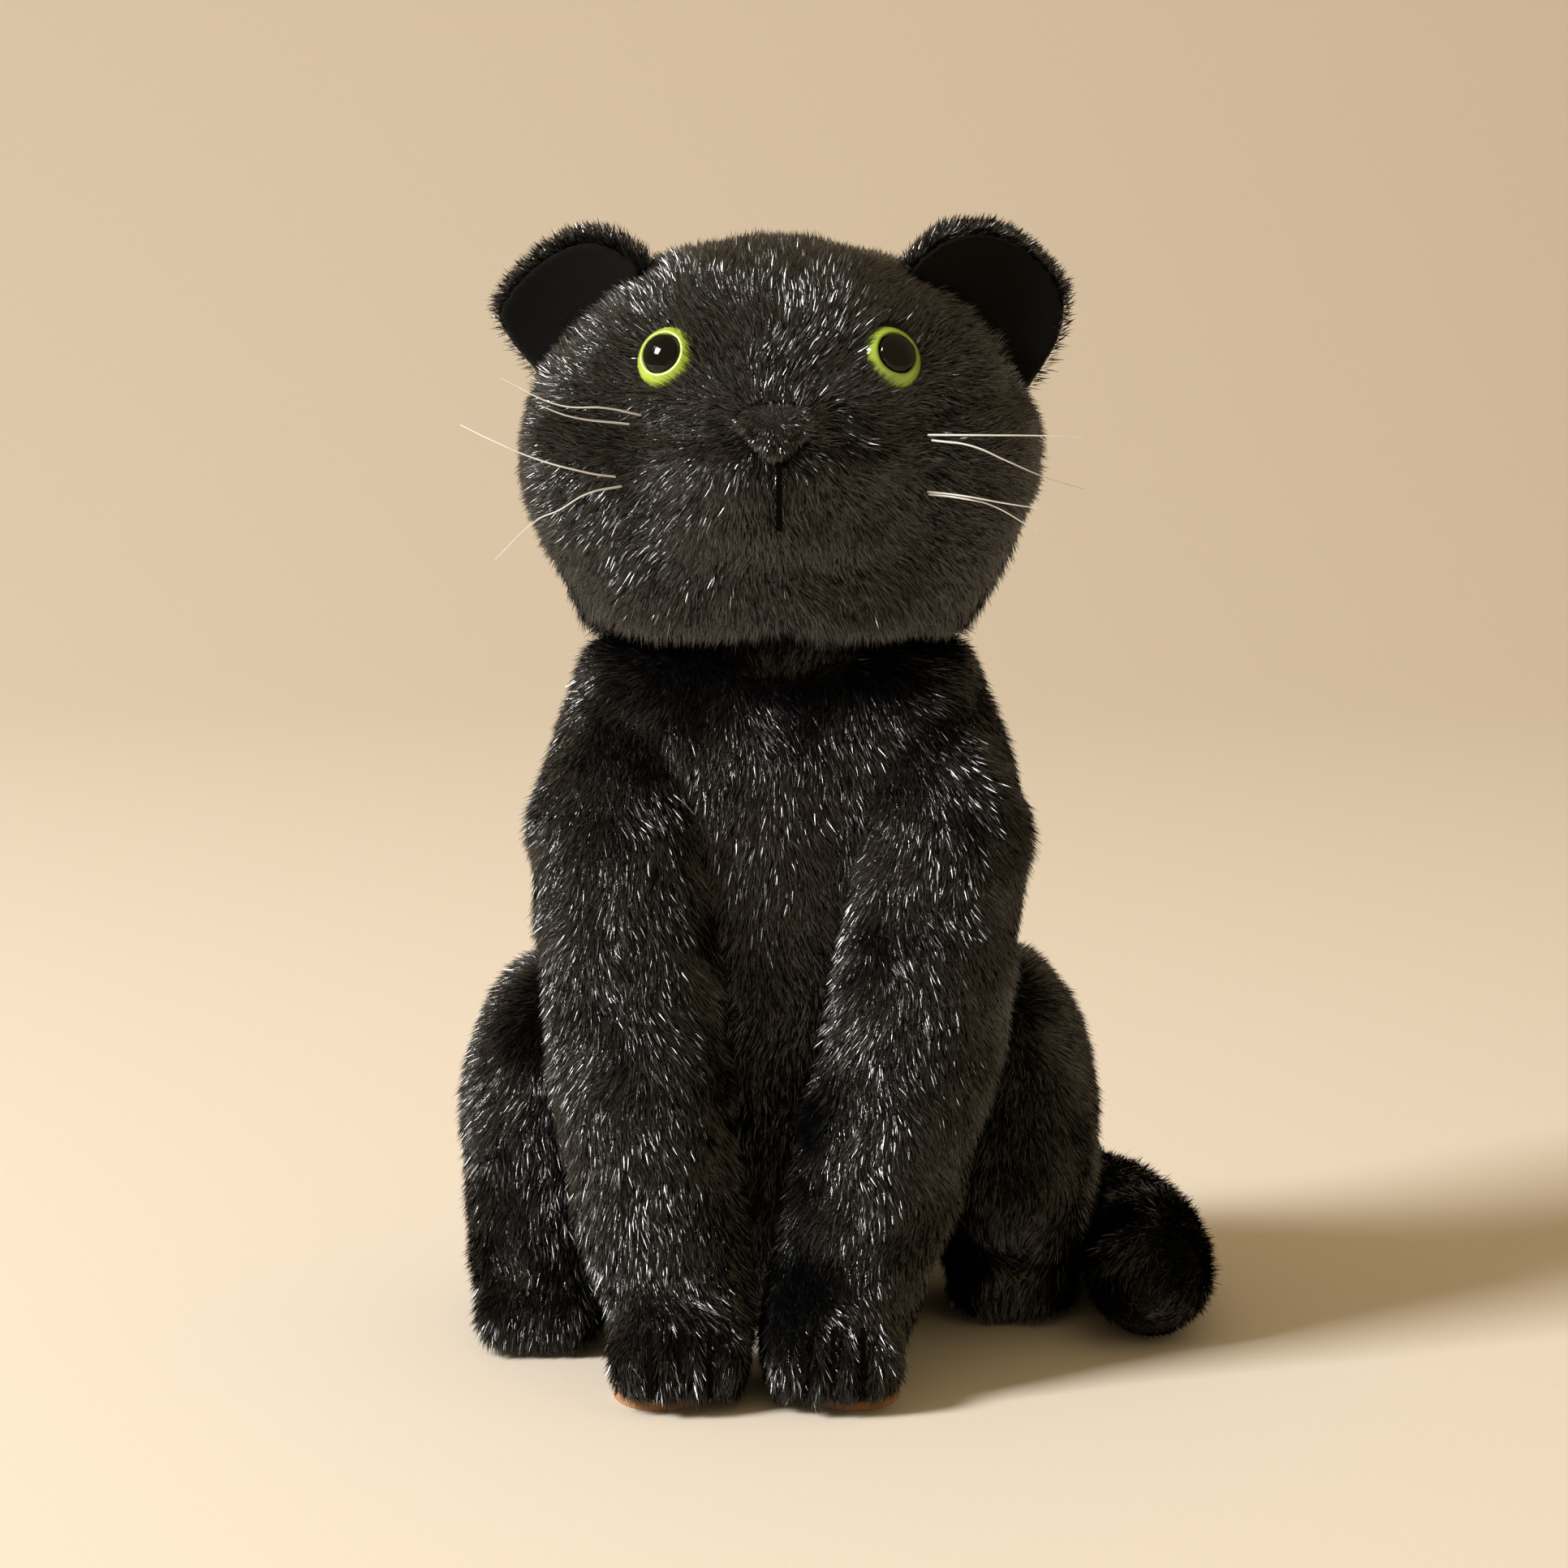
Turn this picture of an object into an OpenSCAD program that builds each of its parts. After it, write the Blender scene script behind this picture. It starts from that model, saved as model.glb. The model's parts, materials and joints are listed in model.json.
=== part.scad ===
// Sitting plush cat: stuffed pile-fabric head, body, legs and tail, sewn together so that each can move.
// The cat faces -Y. Its own left side is +X. The origin is the middle of the flat seat, on the floor.

/* [Fabric] */
// Thickness of the pile fabric that every skin is cut from
skin_t = 1.6; // [1.2:0.1:2]
// Space left between a skin and the filling in it
fill_gap = 0.2; // [0.1:0.05:0.3]
// Space between soft pieces that move past each other
part_gap = 0.5; // [0.4:0.1:0.8]
// Flats round a soft form
soft_fn = 14; // [14:2:18]

/* [Torso] */
// Radius of the flat seat
seat_r = 24; // [20:1:26]
// Half width of the pelvis
pelvis_w = 34; // [30:1:36]
// Half width of the chest
chest_w = 31; // [28:1:33]
// How far the chest leans forward of the seat
chest_lean = 22; // [18:1:26]
// Height of the shoulders' flat top, where the neck is sewn
shoulder_z = 115.5; // [113:0.5:118]

/* [Neck] */
// Radius of the stuffed ball between body and head
neck_r = 14; // [12:0.5:16]
// Height of the gap that the neck seam closes
neck_gap = 4; // [3.6:0.2:5]

/* [Head] */
// Half width of the skull
skull_w = 37; // [34:1:39]
// Half width of the cheeks
cheek_w = 41; // [38:1:42]
// How far the muzzle stands in front of the skull's middle
muzzle_out = 25; // [23:1:27]

/* [Face] */
// Diameter of a safety eye
eye_d = 10; // [9:0.5:11]
// Height of the eye's clear dome
eye_dome_h = 3.2; // [2.6:0.2:4]
// Distance of each eye from the middle
eye_x = 18; // [16.4:0.2:18.6]
// Height of the eyes
eye_z = 163; // [160:0.5:164]
// Width of the nose
nose_w = 11; // [9:0.5:13]
// Thickness of a whisker
whisker_d = 0.3; // [0.25:0.05:0.5]
// Length of a whisker
whisker_l = 22; // [18:1:26]

/* [Ears] */
// Width of an ear along its seam
ear_w = 25; // [23:0.5:27]
// Height of an ear from its seam
ear_h = 15; // [13:0.5:17]
// Radius of the ear's cupped face
ear_cup = 26; // [22:1:34]
// How far each ear leans out from upright, in degrees
ear_splay = 49; // [46:1:52]
// How far each ear leans forward, in degrees
ear_lean = 14; // [8:1:18]

/* [Legs] */
// Radius of a foreleg at the shoulder
foreleg_r = 14.5; // [13:0.5:15]
// Radius of a foreleg at the wrist
wrist_r = 13; // [11:0.5:13.5]
// Half width of a forepaw
paw_w = 11; // [10:0.2:11.2]
// How far the pair of forepaws stands towards the right side
paw_shift = 3.5; // [0:0.5:5]
// Radius of the round haunch
haunch_r = 28; // [25:1:29]
// Half width of the haunch
haunch_w = 14.5; // [13:0.5:15]
// Radius of a hind foot
foot_r = 9.5; // [8.5:0.5:10]

/* [Tail] */
// Radius of the tail at its root
tail_root_r = 9; // [8:0.5:10]
// Radius of the tail near its tip
tail_tip_r = 9.8; // [9:0.1:10]

/* [Hidden] */

pile = [0.07, 0.07, 0.08];
thread = [0.16, 0.16, 0.17];
filling = [0.93, 0.92, 0.88];
left = 1;
right = -1;
$fn = 48;

// Further room that the flats of a foreleg need to turn in their hollow
swing_gap = 0.85;
// Size of the blocks that trim a form flat
cut_size = 200;
// Threads lie between these two heights above a skin
thread_out = 0.6;
thread_in = 0.1;

// Radii of the openings where one stuffed piece is sewn to the next, and their usual length
neck_open_r = 9;
limb_open_r = 6;
tail_open_r = 4;
open_l = 60;

// A soft form is a list of blobs, [middle, half sizes], and the pairs of blobs that fabric spans.
pelvis = [[0, 0, 30], [pelvis_w, 29, 30]];
chest = [[0, -chest_lean, 83], [chest_w, 24, 26]];
shoulder_l = [[17, -chest_lean - 5, shoulder_z - 12.5], [17.5, 19, 19]];
shoulder_r = [[-17, -chest_lean - 5, shoulder_z - 12.5], [17.5, 19, 19]];

neck_at = [0, -28, shoulder_z + neck_gap / 2];
head_z = shoulder_z + neck_gap;
skull = [[0, -30, head_z + 34], [skull_w, 31, 26]];
brow = [[0, -38, head_z + 41], [22, 19, 17]];
cheek_l = [[cheek_w - 17, -36, head_z + 26], [17, 18, 20]];
cheek_r = [[17 - cheek_w, -36, head_z + 26], [17, 18, 20]];
jaw = [[0, -31, head_z + 7.5], [33.5, 24, 14]];
muzzle = [[0, -30 - muzzle_out, head_z + 28], [19, 12, 11]];
chin = [[0, -50, head_z + 19], [20, 13, 10]];

// A leg's blobs, for the side given
function shoulder(s) = [[s * 25.5, -38, 86], [foreleg_r, foreleg_r, foreleg_r]];
function elbow(s) = [[s * 22 - 0.5, -44, 54], [14, 13.8, 15]];
function wrist(s) = [[s * 16.5 - 2.5, -49, 28], [wrist_r, wrist_r, wrist_r]];
function paw(s) = [[paw_x(s), -55, 11], [paw_w, 13, 11]];
function paw_x(s) = s * (paw_w + 0.8) - paw_shift;
toe_pitch = 4.6;
// The two middle toes reach this much further
toe_reach = 1.4;
function toe(s, i) = [
    [paw_x(s) + (i - 1.5) * toe_pitch, -62.5 - (i == 1 || i == 2 ? toe_reach : 0), 7.6],
    [4, 5.6, 7.4]
];

// The left hind foot is tucked further back than the right one.
hip_x = 38;
hip_y = -2;
hip_z = 34;
foot_x = 39;
foot_back = 17;
hind_toe_pitch = 5.2;
function foot_y(s) = s == left ? -27 + foot_back : -27;
function haunch(s) = [[s * hip_x, hip_y, hip_z], [haunch_w, haunch_r, haunch_r]];
function knee(s) = [[s * foot_x, hip_y - 18, hip_z - 7], [11, 11, 14]];
function heel(s) = [[s * foot_x, 8, foot_r + 0.3], [foot_r, foot_r, foot_r]];
function foot(s) = [[s * foot_x, foot_y(s), foot_r + 0.1], [foot_r, foot_r, foot_r]];
function hind_toe(s, i) = [[s * foot_x + (i - 1) * hind_toe_pitch, foot_y(s) - 5.5, 6.6], [4.2, 5.4, 6.4]];

// The tail's middle line is a curve from its root round the left haunch
tail_steps = 8;
tail_from = [6, 36, 12];
tail_bend_a = [42, 50, 11];
tail_bend_b = [67, 27, 9.9];
tail_to = [60, -24, 9.9];
function curve(t) =
    pow(1 - t, 3) * tail_from + 3 * t * pow(1 - t, 2) * tail_bend_a
    + 3 * t * t * (1 - t) * tail_bend_b + pow(t, 3) * tail_to;
function tail_r(t) = tail_root_r + (tail_tip_r - tail_root_r) * sin(180 * min(t * 0.62, 0.5));
function tail_blob(i) = [curve(i / tail_steps), [1, 1, 1] * tail_r(i / tail_steps)];

// Ear seam: its middle on the head's left side, and the directions of its turns
ear_at = [31.2, -31, head_z + 50];
ear_yaw = 12;
ear_tip_r = 7;
ear_back_t = 1.8;
ear_lining_t = 0.9;

// Eyes: where the surface of the face passes through each, and which way it looks
eye_y = -54.8;
eye_polar = 68;
eye_turn = -62;
stem_r = 1.8;
washer_r = 5.5;
washer_t = 1.2;
eye_seat = 1;
washer_depth = 3.4;
stem_l = 7;

nose_at = [-0.5, muzzle[0][1] - muzzle[1][1] + 1.4, muzzle[0][2] + 4.5];
// Where each whisker starts on the left side, its rise in degrees and its share of the full length
whisker_roots = [[21.9, -58.5, 153.6], [23.7, -57.5, 152.2], [25, -55.5, 144.2], [24, -55.5, 142.4]];
whisker_rise_left = [0, -16, -8, -22];
whisker_rise_right = [16, 11, 20, -31];
whisker_share_left = [1.05, 1.08, 0.76, 0.8];
whisker_share_right = [1, 0.66, 1.1, 1.02];
whisker_bend = 34;
whisker_back = 4;

sole_t = 0.6;
label_at = [-14, 26.6, 17];
label_w = 9;
label_h = 11;
label_t = 0.5;
pellet_d = 4.4;
pellet_pitch = pellet_d + 0.3;
// Height of the lowest layer's middle, and how far each layer shifts back
pellet_z = 8;
pellet_shift = 0.4;
// Layers end this many pitches from the middle; the lowest is smaller
function pellet_limit(layer) = layer == 0 ? 1.5 : 2.5 - layer * 0.25;

// Pouch: lower and upper blob, cloth, and the opening in the filling under it
pouch_low = [[0, 0, 15], [17, 17, 12]];
pouch_high = [[0, 2, 30], [12, 14, 10]];
pouch_t = 0.8;
pouch_open_r = 14;
pouch_open_h = 12;

// Ladder stitches: how many, their pitch, the lowest one's height and each one's width and thickness
stitches = 12;
stitch_pitch = 4;
stitch_z = 46;
stitch_w = 3.2;
stitch_t = 0.8;
// Radius of the neck's sewing cord, and of the groove it lies in
neck_cord_r = 0.5;
neck_groove_r = 0.75;

// Turning clearance round an eye's parts
eye_gap = 0.2;
ring_t = 0.75;
pupil_r = 3;
// Radii of the nose's two upper lobes and its tip
nose_lobe_r = 2.2;
nose_tip_r = 1.8;

module blob(b, grow = 0) {
    translate(b[0]) scale(b[1] + [grow, grow, grow]) sphere(r = 1, $fn = soft_fn);
}

module span(a, b, grow = 0) {
    hull() {
        blob(a, grow);
        blob(b, grow);
    }
}

// Torso, solid, with its outside moved by grow; the legs and the neck ball sit in hollows of it
module torso_form(grow) {
    difference() {
        union() {
            hull() {
                blob(pelvis, grow);
                translate([0, 0, -grow]) cylinder(h = 1, r = seat_r + grow, $fn = soft_fn * 2);
            }
            span(pelvis, chest, grow);
            hull() {
                blob(chest, grow);
                blob(shoulder_l, grow);
                blob(shoulder_r, grow);
            }
        }
        // The shoulders end in a flat top
        translate([0, 0, shoulder_z + grow + cut_size / 2]) cube(cut_size, center = true);
        translate(neck_at) sphere(r = neck_r + part_gap - grow, $fn = soft_fn * 2);
        for (s = [left, right]) {
            span(shoulder(s), elbow(s), part_gap + swing_gap - grow);
            span(elbow(s), wrist(s), part_gap + swing_gap - grow);
            hull() blob([haunch(s)[0], [haunch_w + 0.8, haunch_r + 6, haunch_r + 6]], part_gap - grow);
        }
    }
}

module head_form(grow) {
    difference() {
        union() {
            span(skull, cheek_l, grow);
            span(skull, cheek_r, grow);
            span(skull, brow, grow);
            span(cheek_l, cheek_r, grow);
            span(jaw, cheek_l, grow);
            span(jaw, cheek_r, grow);
            span(brow, muzzle, grow);
            span(muzzle, chin, grow);
            span(chin, jaw, grow);
        }
        // The head ends in a flat base over the neck
        translate([0, 0, head_z - grow - cut_size / 2]) cube(cut_size, center = true);
    }
}

module foreleg_form(s, grow) {
    span(shoulder(s), elbow(s), grow);
    span(elbow(s), wrist(s), grow);
    span(wrist(s), paw(s), grow);
    for (i = [0:3]) span(paw(s), toe(s, i), grow);
    hull() blob(shoulder(s), grow);
}

module hind_leg_form(s, grow) {
    span(haunch(s), knee(s), grow);
    span(haunch(s), heel(s), grow);
    span(heel(s), foot(s), grow);
    hull() {
        blob(haunch(s), grow);
        blob(knee(s), grow);
        blob(heel(s), grow);
        blob(foot(s), grow);
    }
    for (i = [0:2]) span(foot(s), hind_toe(s, i), grow);
    hull() blob(haunch(s), grow);
}

module tail_form(grow) {
    for (i = [0:tail_steps - 1]) span(tail_blob(i), tail_blob(i + 1), grow);
}

// Puts a seam opening's cylinder at a form's middle, pointing the way that turn gives
module seam_opening(at, turn, r, h = open_l) {
    translate(at) rotate(turn) cylinder(h = h, r = r);
}

module torso_skin() {
    color(pile) difference() {
        torso_form(0);
        torso_form(-skin_t);
        seam_opening([0, neck_at[1], 90], [0, 0, 0], neck_open_r);
    }
}

module pouch_form(grow) {
    span(pouch_low, pouch_high, grow);
}

module torso_stuffing() {
    color(filling) difference() {
        torso_form(-skin_t - fill_gap);
        pouch_form(fill_gap);
        cylinder(h = pouch_open_h, r = pouch_open_r);
    }
}

// Thin cloth bag of plastic pellets that weighs the seat down
module pellet_pouch() {
    color([0.85, 0.84, 0.8]) difference() {
        pouch_form(0);
        pouch_form(-pouch_t);
    }
}

module pellets() {
    color([0.9, 0.9, 0.92])
        for (layer = [0:3], i = [-2:2], j = [-2:2])
            if (norm([i, j]) < pellet_limit(layer))
                translate([0, layer * pellet_shift, pellet_z] + [i, j, layer] * pellet_pitch)
                    sphere(d = pellet_d);
}

// Ladder stitches that close the back
module back_seam_thread() {
    color(thread) intersection() {
        difference() {
            torso_form(thread_out);
            torso_form(thread_in);
        }
        for (i = [0:stitches - 1])
            translate([-stitch_w / 2, 5, stitch_z + i * stitch_pitch]) cube([stitch_w, 40, stitch_t]);
    }
}

// Blank folded tape caught in the seam low on the back
module sewn_label() {
    color("white") translate(label_at) cube([label_t, label_w, label_h]);
}

module neck_stuffing() {
    color(filling) translate(neck_at) difference() {
        sphere(r = neck_r);
        rotate_extrude() translate([neck_r - 0.5, 0]) circle(r = neck_groove_r, $fn = 24);
    }
}

module neck_seam_thread() {
    color(thread) translate(neck_at)
        rotate_extrude() translate([neck_r - 0.6, 0]) circle(r = neck_cord_r, $fn = 24);
}

// Puts its children at an eye, with +Z looking out of it
module at_eye(s) {
    translate([s * eye_x, eye_y, eye_z]) rotate([0, 0, s == left ? eye_turn : -180 - eye_turn])
        rotate([0, eye_polar, 0]) children();
}

module nose_form(grow) {
    translate(nose_at) hull() {
        for (s = [left, right])
            translate([s * (nose_w / 2 - nose_lobe_r), 0, 1.6]) scale([1, 0.85, 0.8])
                sphere(r = nose_lobe_r + grow, $fn = 16);
        translate([0, 0, -2.6]) scale([1, 0.85, 0.8]) sphere(r = nose_tip_r + grow, $fn = 16);
    }
}

module head_skin() {
    color(pile) difference() {
        head_form(0);
        head_form(-skin_t);
        for (s = [left, right]) at_eye(s) {
            translate([0, 0, -eye_seat]) cylinder(h = 20, r = eye_d / 2 + eye_gap);
            translate([0, 0, -20]) cylinder(h = 30, r = stem_r + eye_gap);
            translate([0, 0, -washer_depth - 8]) cylinder(h = 8 + 0.1, r = washer_r + 0.3);
        }
        nose_form(0.1);
        translate(neck_at) sphere(r = neck_r + part_gap, $fn = soft_fn * 2);
        seam_opening(neck_at, [0, 0, 0], neck_open_r, 22);
    }
}

module head_stuffing() {
    color(filling) difference() {
        head_form(-skin_t - fill_gap);
        for (s = [left, right]) at_eye(s)
            translate([0, 0, -stem_l - 3]) cylinder(h = 30, r = washer_r + 0.6);
        nose_form(0.4);
        translate(neck_at) sphere(r = neck_r + part_gap + skin_t, $fn = soft_fn * 2);
    }
}

module nose() {
    color([0.05, 0.05, 0.05]) nose_form(0);
}

// Stitched line from the nose down the middle of the muzzle
module mouth_thread() {
    color(thread) intersection() {
        difference() {
            head_form(thread_out);
            head_form(thread_in);
        }
        translate([-0.45, -90, chin[0][2] - 2]) cube([0.9, 60, nose_at[2] - chin[0][2] - 3]);
    }
}

// Clear dome over the coloured ring; it covers the eye's whole face
module eye_lens(s) {
    cap_r = (pow(eye_d / 2, 2) + pow(eye_dome_h, 2)) / (2 * eye_dome_h);
    color([0.85, 0.9, 0.9, 0.4]) at_eye(s) translate([0, 0, 0.9 - eye_seat]) intersection() {
        translate([0, 0, eye_dome_h - cap_r]) sphere(r = cap_r);
        cylinder(h = eye_dome_h + 1, r = eye_d);
    }
}

module eye_iris(s) {
    color([0.56, 0.72, 0.18]) at_eye(s) translate([0, 0, 0.1 - eye_seat]) difference() {
        cylinder(h = ring_t, r = eye_d / 2);
        translate([0, 0, -1]) cylinder(h = ring_t + 2, r = pupil_r + 0.05);
    }
}

// Black pupil, moulded in one with the stem that goes through the skin
module eye_pupil(s) {
    color([0.02, 0.02, 0.02]) at_eye(s) {
        translate([0, 0, 0.1 - eye_seat]) cylinder(h = ring_t, r = pupil_r);
        translate([0, 0, 0.15 - eye_seat - stem_l]) cylinder(h = stem_l, r = stem_r);
    }
}

module eye_washer(s) {
    color([0.9, 0.9, 0.88]) at_eye(s) translate([0, 0, -washer_depth - washer_t]) difference() {
        cylinder(h = washer_t, r = washer_r);
        translate([0, 0, -1]) cylinder(h = washer_t + 2, r = stem_r + 0.05);
    }
}

// One bristle: an arc that starts at the muzzle and curves up and back
module whisker(s, i) {
    rise = (s == left ? whisker_rise_left : whisker_rise_right)[i];
    share = (s == left ? whisker_share_left : whisker_share_right)[i];
    arc_r = share * whisker_l / (whisker_bend * PI / 180);
    translate([s * whisker_roots[i][0], whisker_roots[i][1], whisker_roots[i][2]])
        mirror([s == left ? 0 : 1, 0, 0])
        rotate([0, -rise, 0])
        rotate([0, 0, -whisker_back])
        translate([0, arc_r, 0])
        rotate([0, 0, -90])
        rotate_extrude(angle = whisker_bend) translate([arc_r, 0]) circle(d = whisker_d, $fn = 16);
}

module whiskers(s) {
    color([0.95, 0.95, 0.93]) for (i = [0:3]) whisker(s, i);
}

module at_ear(s) {
    mirror([s == left ? 0 : 1, 0, 0]) translate(ear_at)
        rotate([ear_lean, 0, ear_yaw]) rotate([0, ear_splay, 0]) children();
}

// Outline of an ear, with its seam along X and its rounded tip towards the outer end
module ear_outline(inset) {
    r = ear_tip_r - inset;
    hull() {
        translate([inset - ear_w / 2, 0]) square([ear_w - 2 * inset, 1]);
        translate([-ear_w * 0.19, ear_h - ear_tip_r - 2]) circle(r = r);
        translate([ear_w * 0.19, ear_h - ear_tip_r]) circle(r = r);
    }
}

// Cupped layer of an ear between two radii, open towards the front
module ear_layer(r, t, inset) {
    intersection() {
        translate([0, -ear_cup, ear_h / 2]) difference() {
            sphere(r = r + t, $fn = 96);
            sphere(r = r, $fn = 96);
        }
        rotate([90, 0, 0]) translate([0, 0, -6]) linear_extrude(height = 20) ear_outline(inset);
    }
}

module ear_back(s) {
    color(pile) at_ear(s) ear_layer(ear_cup + 0.1, ear_back_t, 0);
}

module ear_lining(s) {
    color([0.04, 0.04, 0.045]) at_ear(s) ear_layer(ear_cup - ear_lining_t, ear_lining_t, 0.8);
}

module foreleg_skin(s) {
    color(pile) difference() {
        foreleg_form(s, 0);
        foreleg_form(s, -skin_t);
        seam_opening(shoulder(s)[0], [-90, 0, s * 40], limb_open_r);
        translate([0, 0, sole_t + 0.1 - cut_size / 2]) cube(cut_size, center = true);
    }
}

module foreleg_stuffing(s) {
    color(filling) difference() {
        foreleg_form(s, -skin_t - fill_gap);
        translate([0, 0, sole_t + 0.6 - cut_size / 2]) cube(cut_size, center = true);
    }
}

// Stitches that part the toes
module toe_thread(s) {
    color(thread) intersection() {
        difference() {
            foreleg_form(s, thread_out);
            foreleg_form(s, thread_in);
        }
        for (i = [0:2])
            translate([paw_x(s) + (i - 1) * toe_pitch - 0.4, -75, 3]) cube([0.8, 12.5, 11]);
    }
}

// Tan sole under a forepaw
module paw_pad(s) {
    color([0.68, 0.45, 0.3]) translate([paw_x(s), -57, 0]) {
        linear_extrude(height = sole_t) hull() {
            circle(r = 6.2, $fn = 40);
            translate([0, -4]) circle(r = 5.8, $fn = 40);
        }
    }
}

module hind_leg_skin(s) {
    color(pile) difference() {
        hind_leg_form(s, 0);
        hind_leg_form(s, -skin_t);
        seam_opening(haunch(s)[0], [0, -90 * s, 0], limb_open_r);
    }
}

module hind_leg_stuffing(s) {
    color(filling) hind_leg_form(s, -skin_t - fill_gap);
}

module tail_skin() {
    color(pile) difference() {
        tail_form(0);
        tail_form(-skin_t);
        seam_opening(tail_from, [90, 0, 0], tail_open_r);
    }
}

module tail_stuffing() {
    color(filling) tail_form(-skin_t - fill_gap);
}

torso_skin();
torso_stuffing();
pellet_pouch();
pellets();
back_seam_thread();
sewn_label();
neck_stuffing();
neck_seam_thread();
head_skin();
head_stuffing();
nose();
mouth_thread();
eye_lens(left);  // eye_lens_left
eye_lens(right);  // eye_lens_right
eye_iris(left);  // eye_iris_left
eye_iris(right);  // eye_iris_right
eye_pupil(left);  // eye_pupil_left
eye_pupil(right);  // eye_pupil_right
eye_washer(left);  // eye_washer_left
eye_washer(right);  // eye_washer_right
whiskers(left);  // whiskers_left
whiskers(right);  // whiskers_right
ear_back(left);  // ear_back_left
ear_back(right);  // ear_back_right
ear_lining(left);  // ear_lining_left
ear_lining(right);  // ear_lining_right
foreleg_skin(left);  // foreleg_skin_left
foreleg_skin(right);  // foreleg_skin_right
foreleg_stuffing(left);  // foreleg_stuffing_left
foreleg_stuffing(right);  // foreleg_stuffing_right
toe_thread(left);  // toe_thread_left
toe_thread(right);  // toe_thread_right
paw_pad(left);  // paw_pad_left
paw_pad(right);  // paw_pad_right
hind_leg_skin(left);  // hind_leg_skin_left
hind_leg_skin(right);  // hind_leg_skin_right
hind_leg_stuffing(left);  // hind_leg_stuffing_left
hind_leg_stuffing(right);  // hind_leg_stuffing_right
tail_skin();
tail_stuffing();
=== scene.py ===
import json
import math
import time

import bmesh
import bpy
import numpy as np
from mathutils import Matrix, Vector, noise
from mathutils.bvhtree import BVHTree

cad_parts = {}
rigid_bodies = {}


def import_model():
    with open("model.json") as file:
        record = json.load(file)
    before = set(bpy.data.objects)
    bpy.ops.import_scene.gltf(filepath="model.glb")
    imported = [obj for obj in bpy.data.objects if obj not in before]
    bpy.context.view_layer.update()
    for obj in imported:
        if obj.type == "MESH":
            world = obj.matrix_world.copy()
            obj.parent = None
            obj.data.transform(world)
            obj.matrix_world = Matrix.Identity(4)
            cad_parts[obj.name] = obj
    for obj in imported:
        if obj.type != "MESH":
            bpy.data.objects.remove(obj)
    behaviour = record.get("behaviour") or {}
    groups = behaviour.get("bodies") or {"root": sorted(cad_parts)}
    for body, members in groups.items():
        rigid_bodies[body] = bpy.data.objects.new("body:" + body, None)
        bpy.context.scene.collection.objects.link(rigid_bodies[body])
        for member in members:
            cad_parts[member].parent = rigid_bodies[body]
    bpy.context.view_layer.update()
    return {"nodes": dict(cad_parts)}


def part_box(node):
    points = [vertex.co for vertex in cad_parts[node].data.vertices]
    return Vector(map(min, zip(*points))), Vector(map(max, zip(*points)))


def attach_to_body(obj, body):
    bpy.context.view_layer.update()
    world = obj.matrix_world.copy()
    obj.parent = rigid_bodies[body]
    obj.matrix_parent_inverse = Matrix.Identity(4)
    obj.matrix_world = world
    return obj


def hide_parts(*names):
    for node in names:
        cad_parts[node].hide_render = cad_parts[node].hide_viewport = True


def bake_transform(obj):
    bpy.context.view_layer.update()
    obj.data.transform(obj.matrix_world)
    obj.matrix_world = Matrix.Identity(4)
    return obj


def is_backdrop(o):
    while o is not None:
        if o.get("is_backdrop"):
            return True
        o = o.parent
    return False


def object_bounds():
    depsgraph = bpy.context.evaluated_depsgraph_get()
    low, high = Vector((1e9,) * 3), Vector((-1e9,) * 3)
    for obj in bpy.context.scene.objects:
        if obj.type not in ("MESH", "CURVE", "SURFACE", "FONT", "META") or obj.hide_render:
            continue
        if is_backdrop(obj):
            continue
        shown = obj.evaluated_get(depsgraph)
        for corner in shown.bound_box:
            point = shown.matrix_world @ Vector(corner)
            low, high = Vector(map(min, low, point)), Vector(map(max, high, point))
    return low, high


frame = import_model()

mm = 0.001
scene = bpy.context.scene
startedAt = time.time()


def say(text):
    print(f"[cat {time.time() - startedAt:6.1f}s] {text}", flush=True)


# camera first: a long lens, a little above the toy's chest; mm and degrees
camera = {"target": (0, -25, 96), "distance": 620, "elevation": 8, "lens": 88, "shiftX": 0.0031, "shiftY": -0.0135}

lift = math.radians(camera["elevation"])
aim = Vector(camera["target"]) * mm
cameraData = bpy.data.cameras.new("camera")
cameraData.lens = camera["lens"]
cameraData.sensor_width = 36
cameraData.shift_x = camera["shiftX"]
cameraData.shift_y = camera["shiftY"]
cameraData.clip_start = 0.02
cameraObject = bpy.data.objects.new("camera", cameraData)
scene.collection.objects.link(cameraObject)
cameraObject.location = aim + Vector((0, -math.cos(lift), math.sin(lift))) * camera["distance"] * mm
cameraObject.rotation_euler = (aim - cameraObject.location).to_track_quat("-Z", "Y").to_euler()
scene.camera = cameraObject
scene.view_settings.view_transform = "Standard"


# small helpers
def linear(code):
    parts = [int(code[i : i + 2], 16) / 255 for i in (1, 3, 5)]
    return tuple(c / 12.92 if c <= 0.04045 else ((c + 0.055) / 1.055) ** 2.4 for c in parts) + (1,)


def addNode(tree, kind, settings=None, inputs=None):
    made = tree.nodes.new(kind)
    for name, value in (settings or {}).items():
        setattr(made, name, value)
    for name, value in (inputs or {}).items():
        if isinstance(value, bpy.types.NodeSocket):
            tree.links.new(value, made.inputs[name])
        else:
            made.inputs[name].default_value = value
    return made


def newMaterial(name, values):
    mat = bpy.data.materials.new(name)
    mat.use_nodes = True
    surface = mat.node_tree.nodes["Principled BSDF"]
    for socket, value in values.items():
        surface.inputs[socket].default_value = value
    return mat, mat.node_tree, surface


def newObject(name, mesh):
    made = bpy.data.objects.new(name, mesh)
    scene.collection.objects.link(made)
    return made


def fromBmesh(name, bm):
    mesh = bpy.data.meshes.new(name)
    bm.to_mesh(mesh)
    bm.free()
    return newObject(name, mesh)


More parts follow.
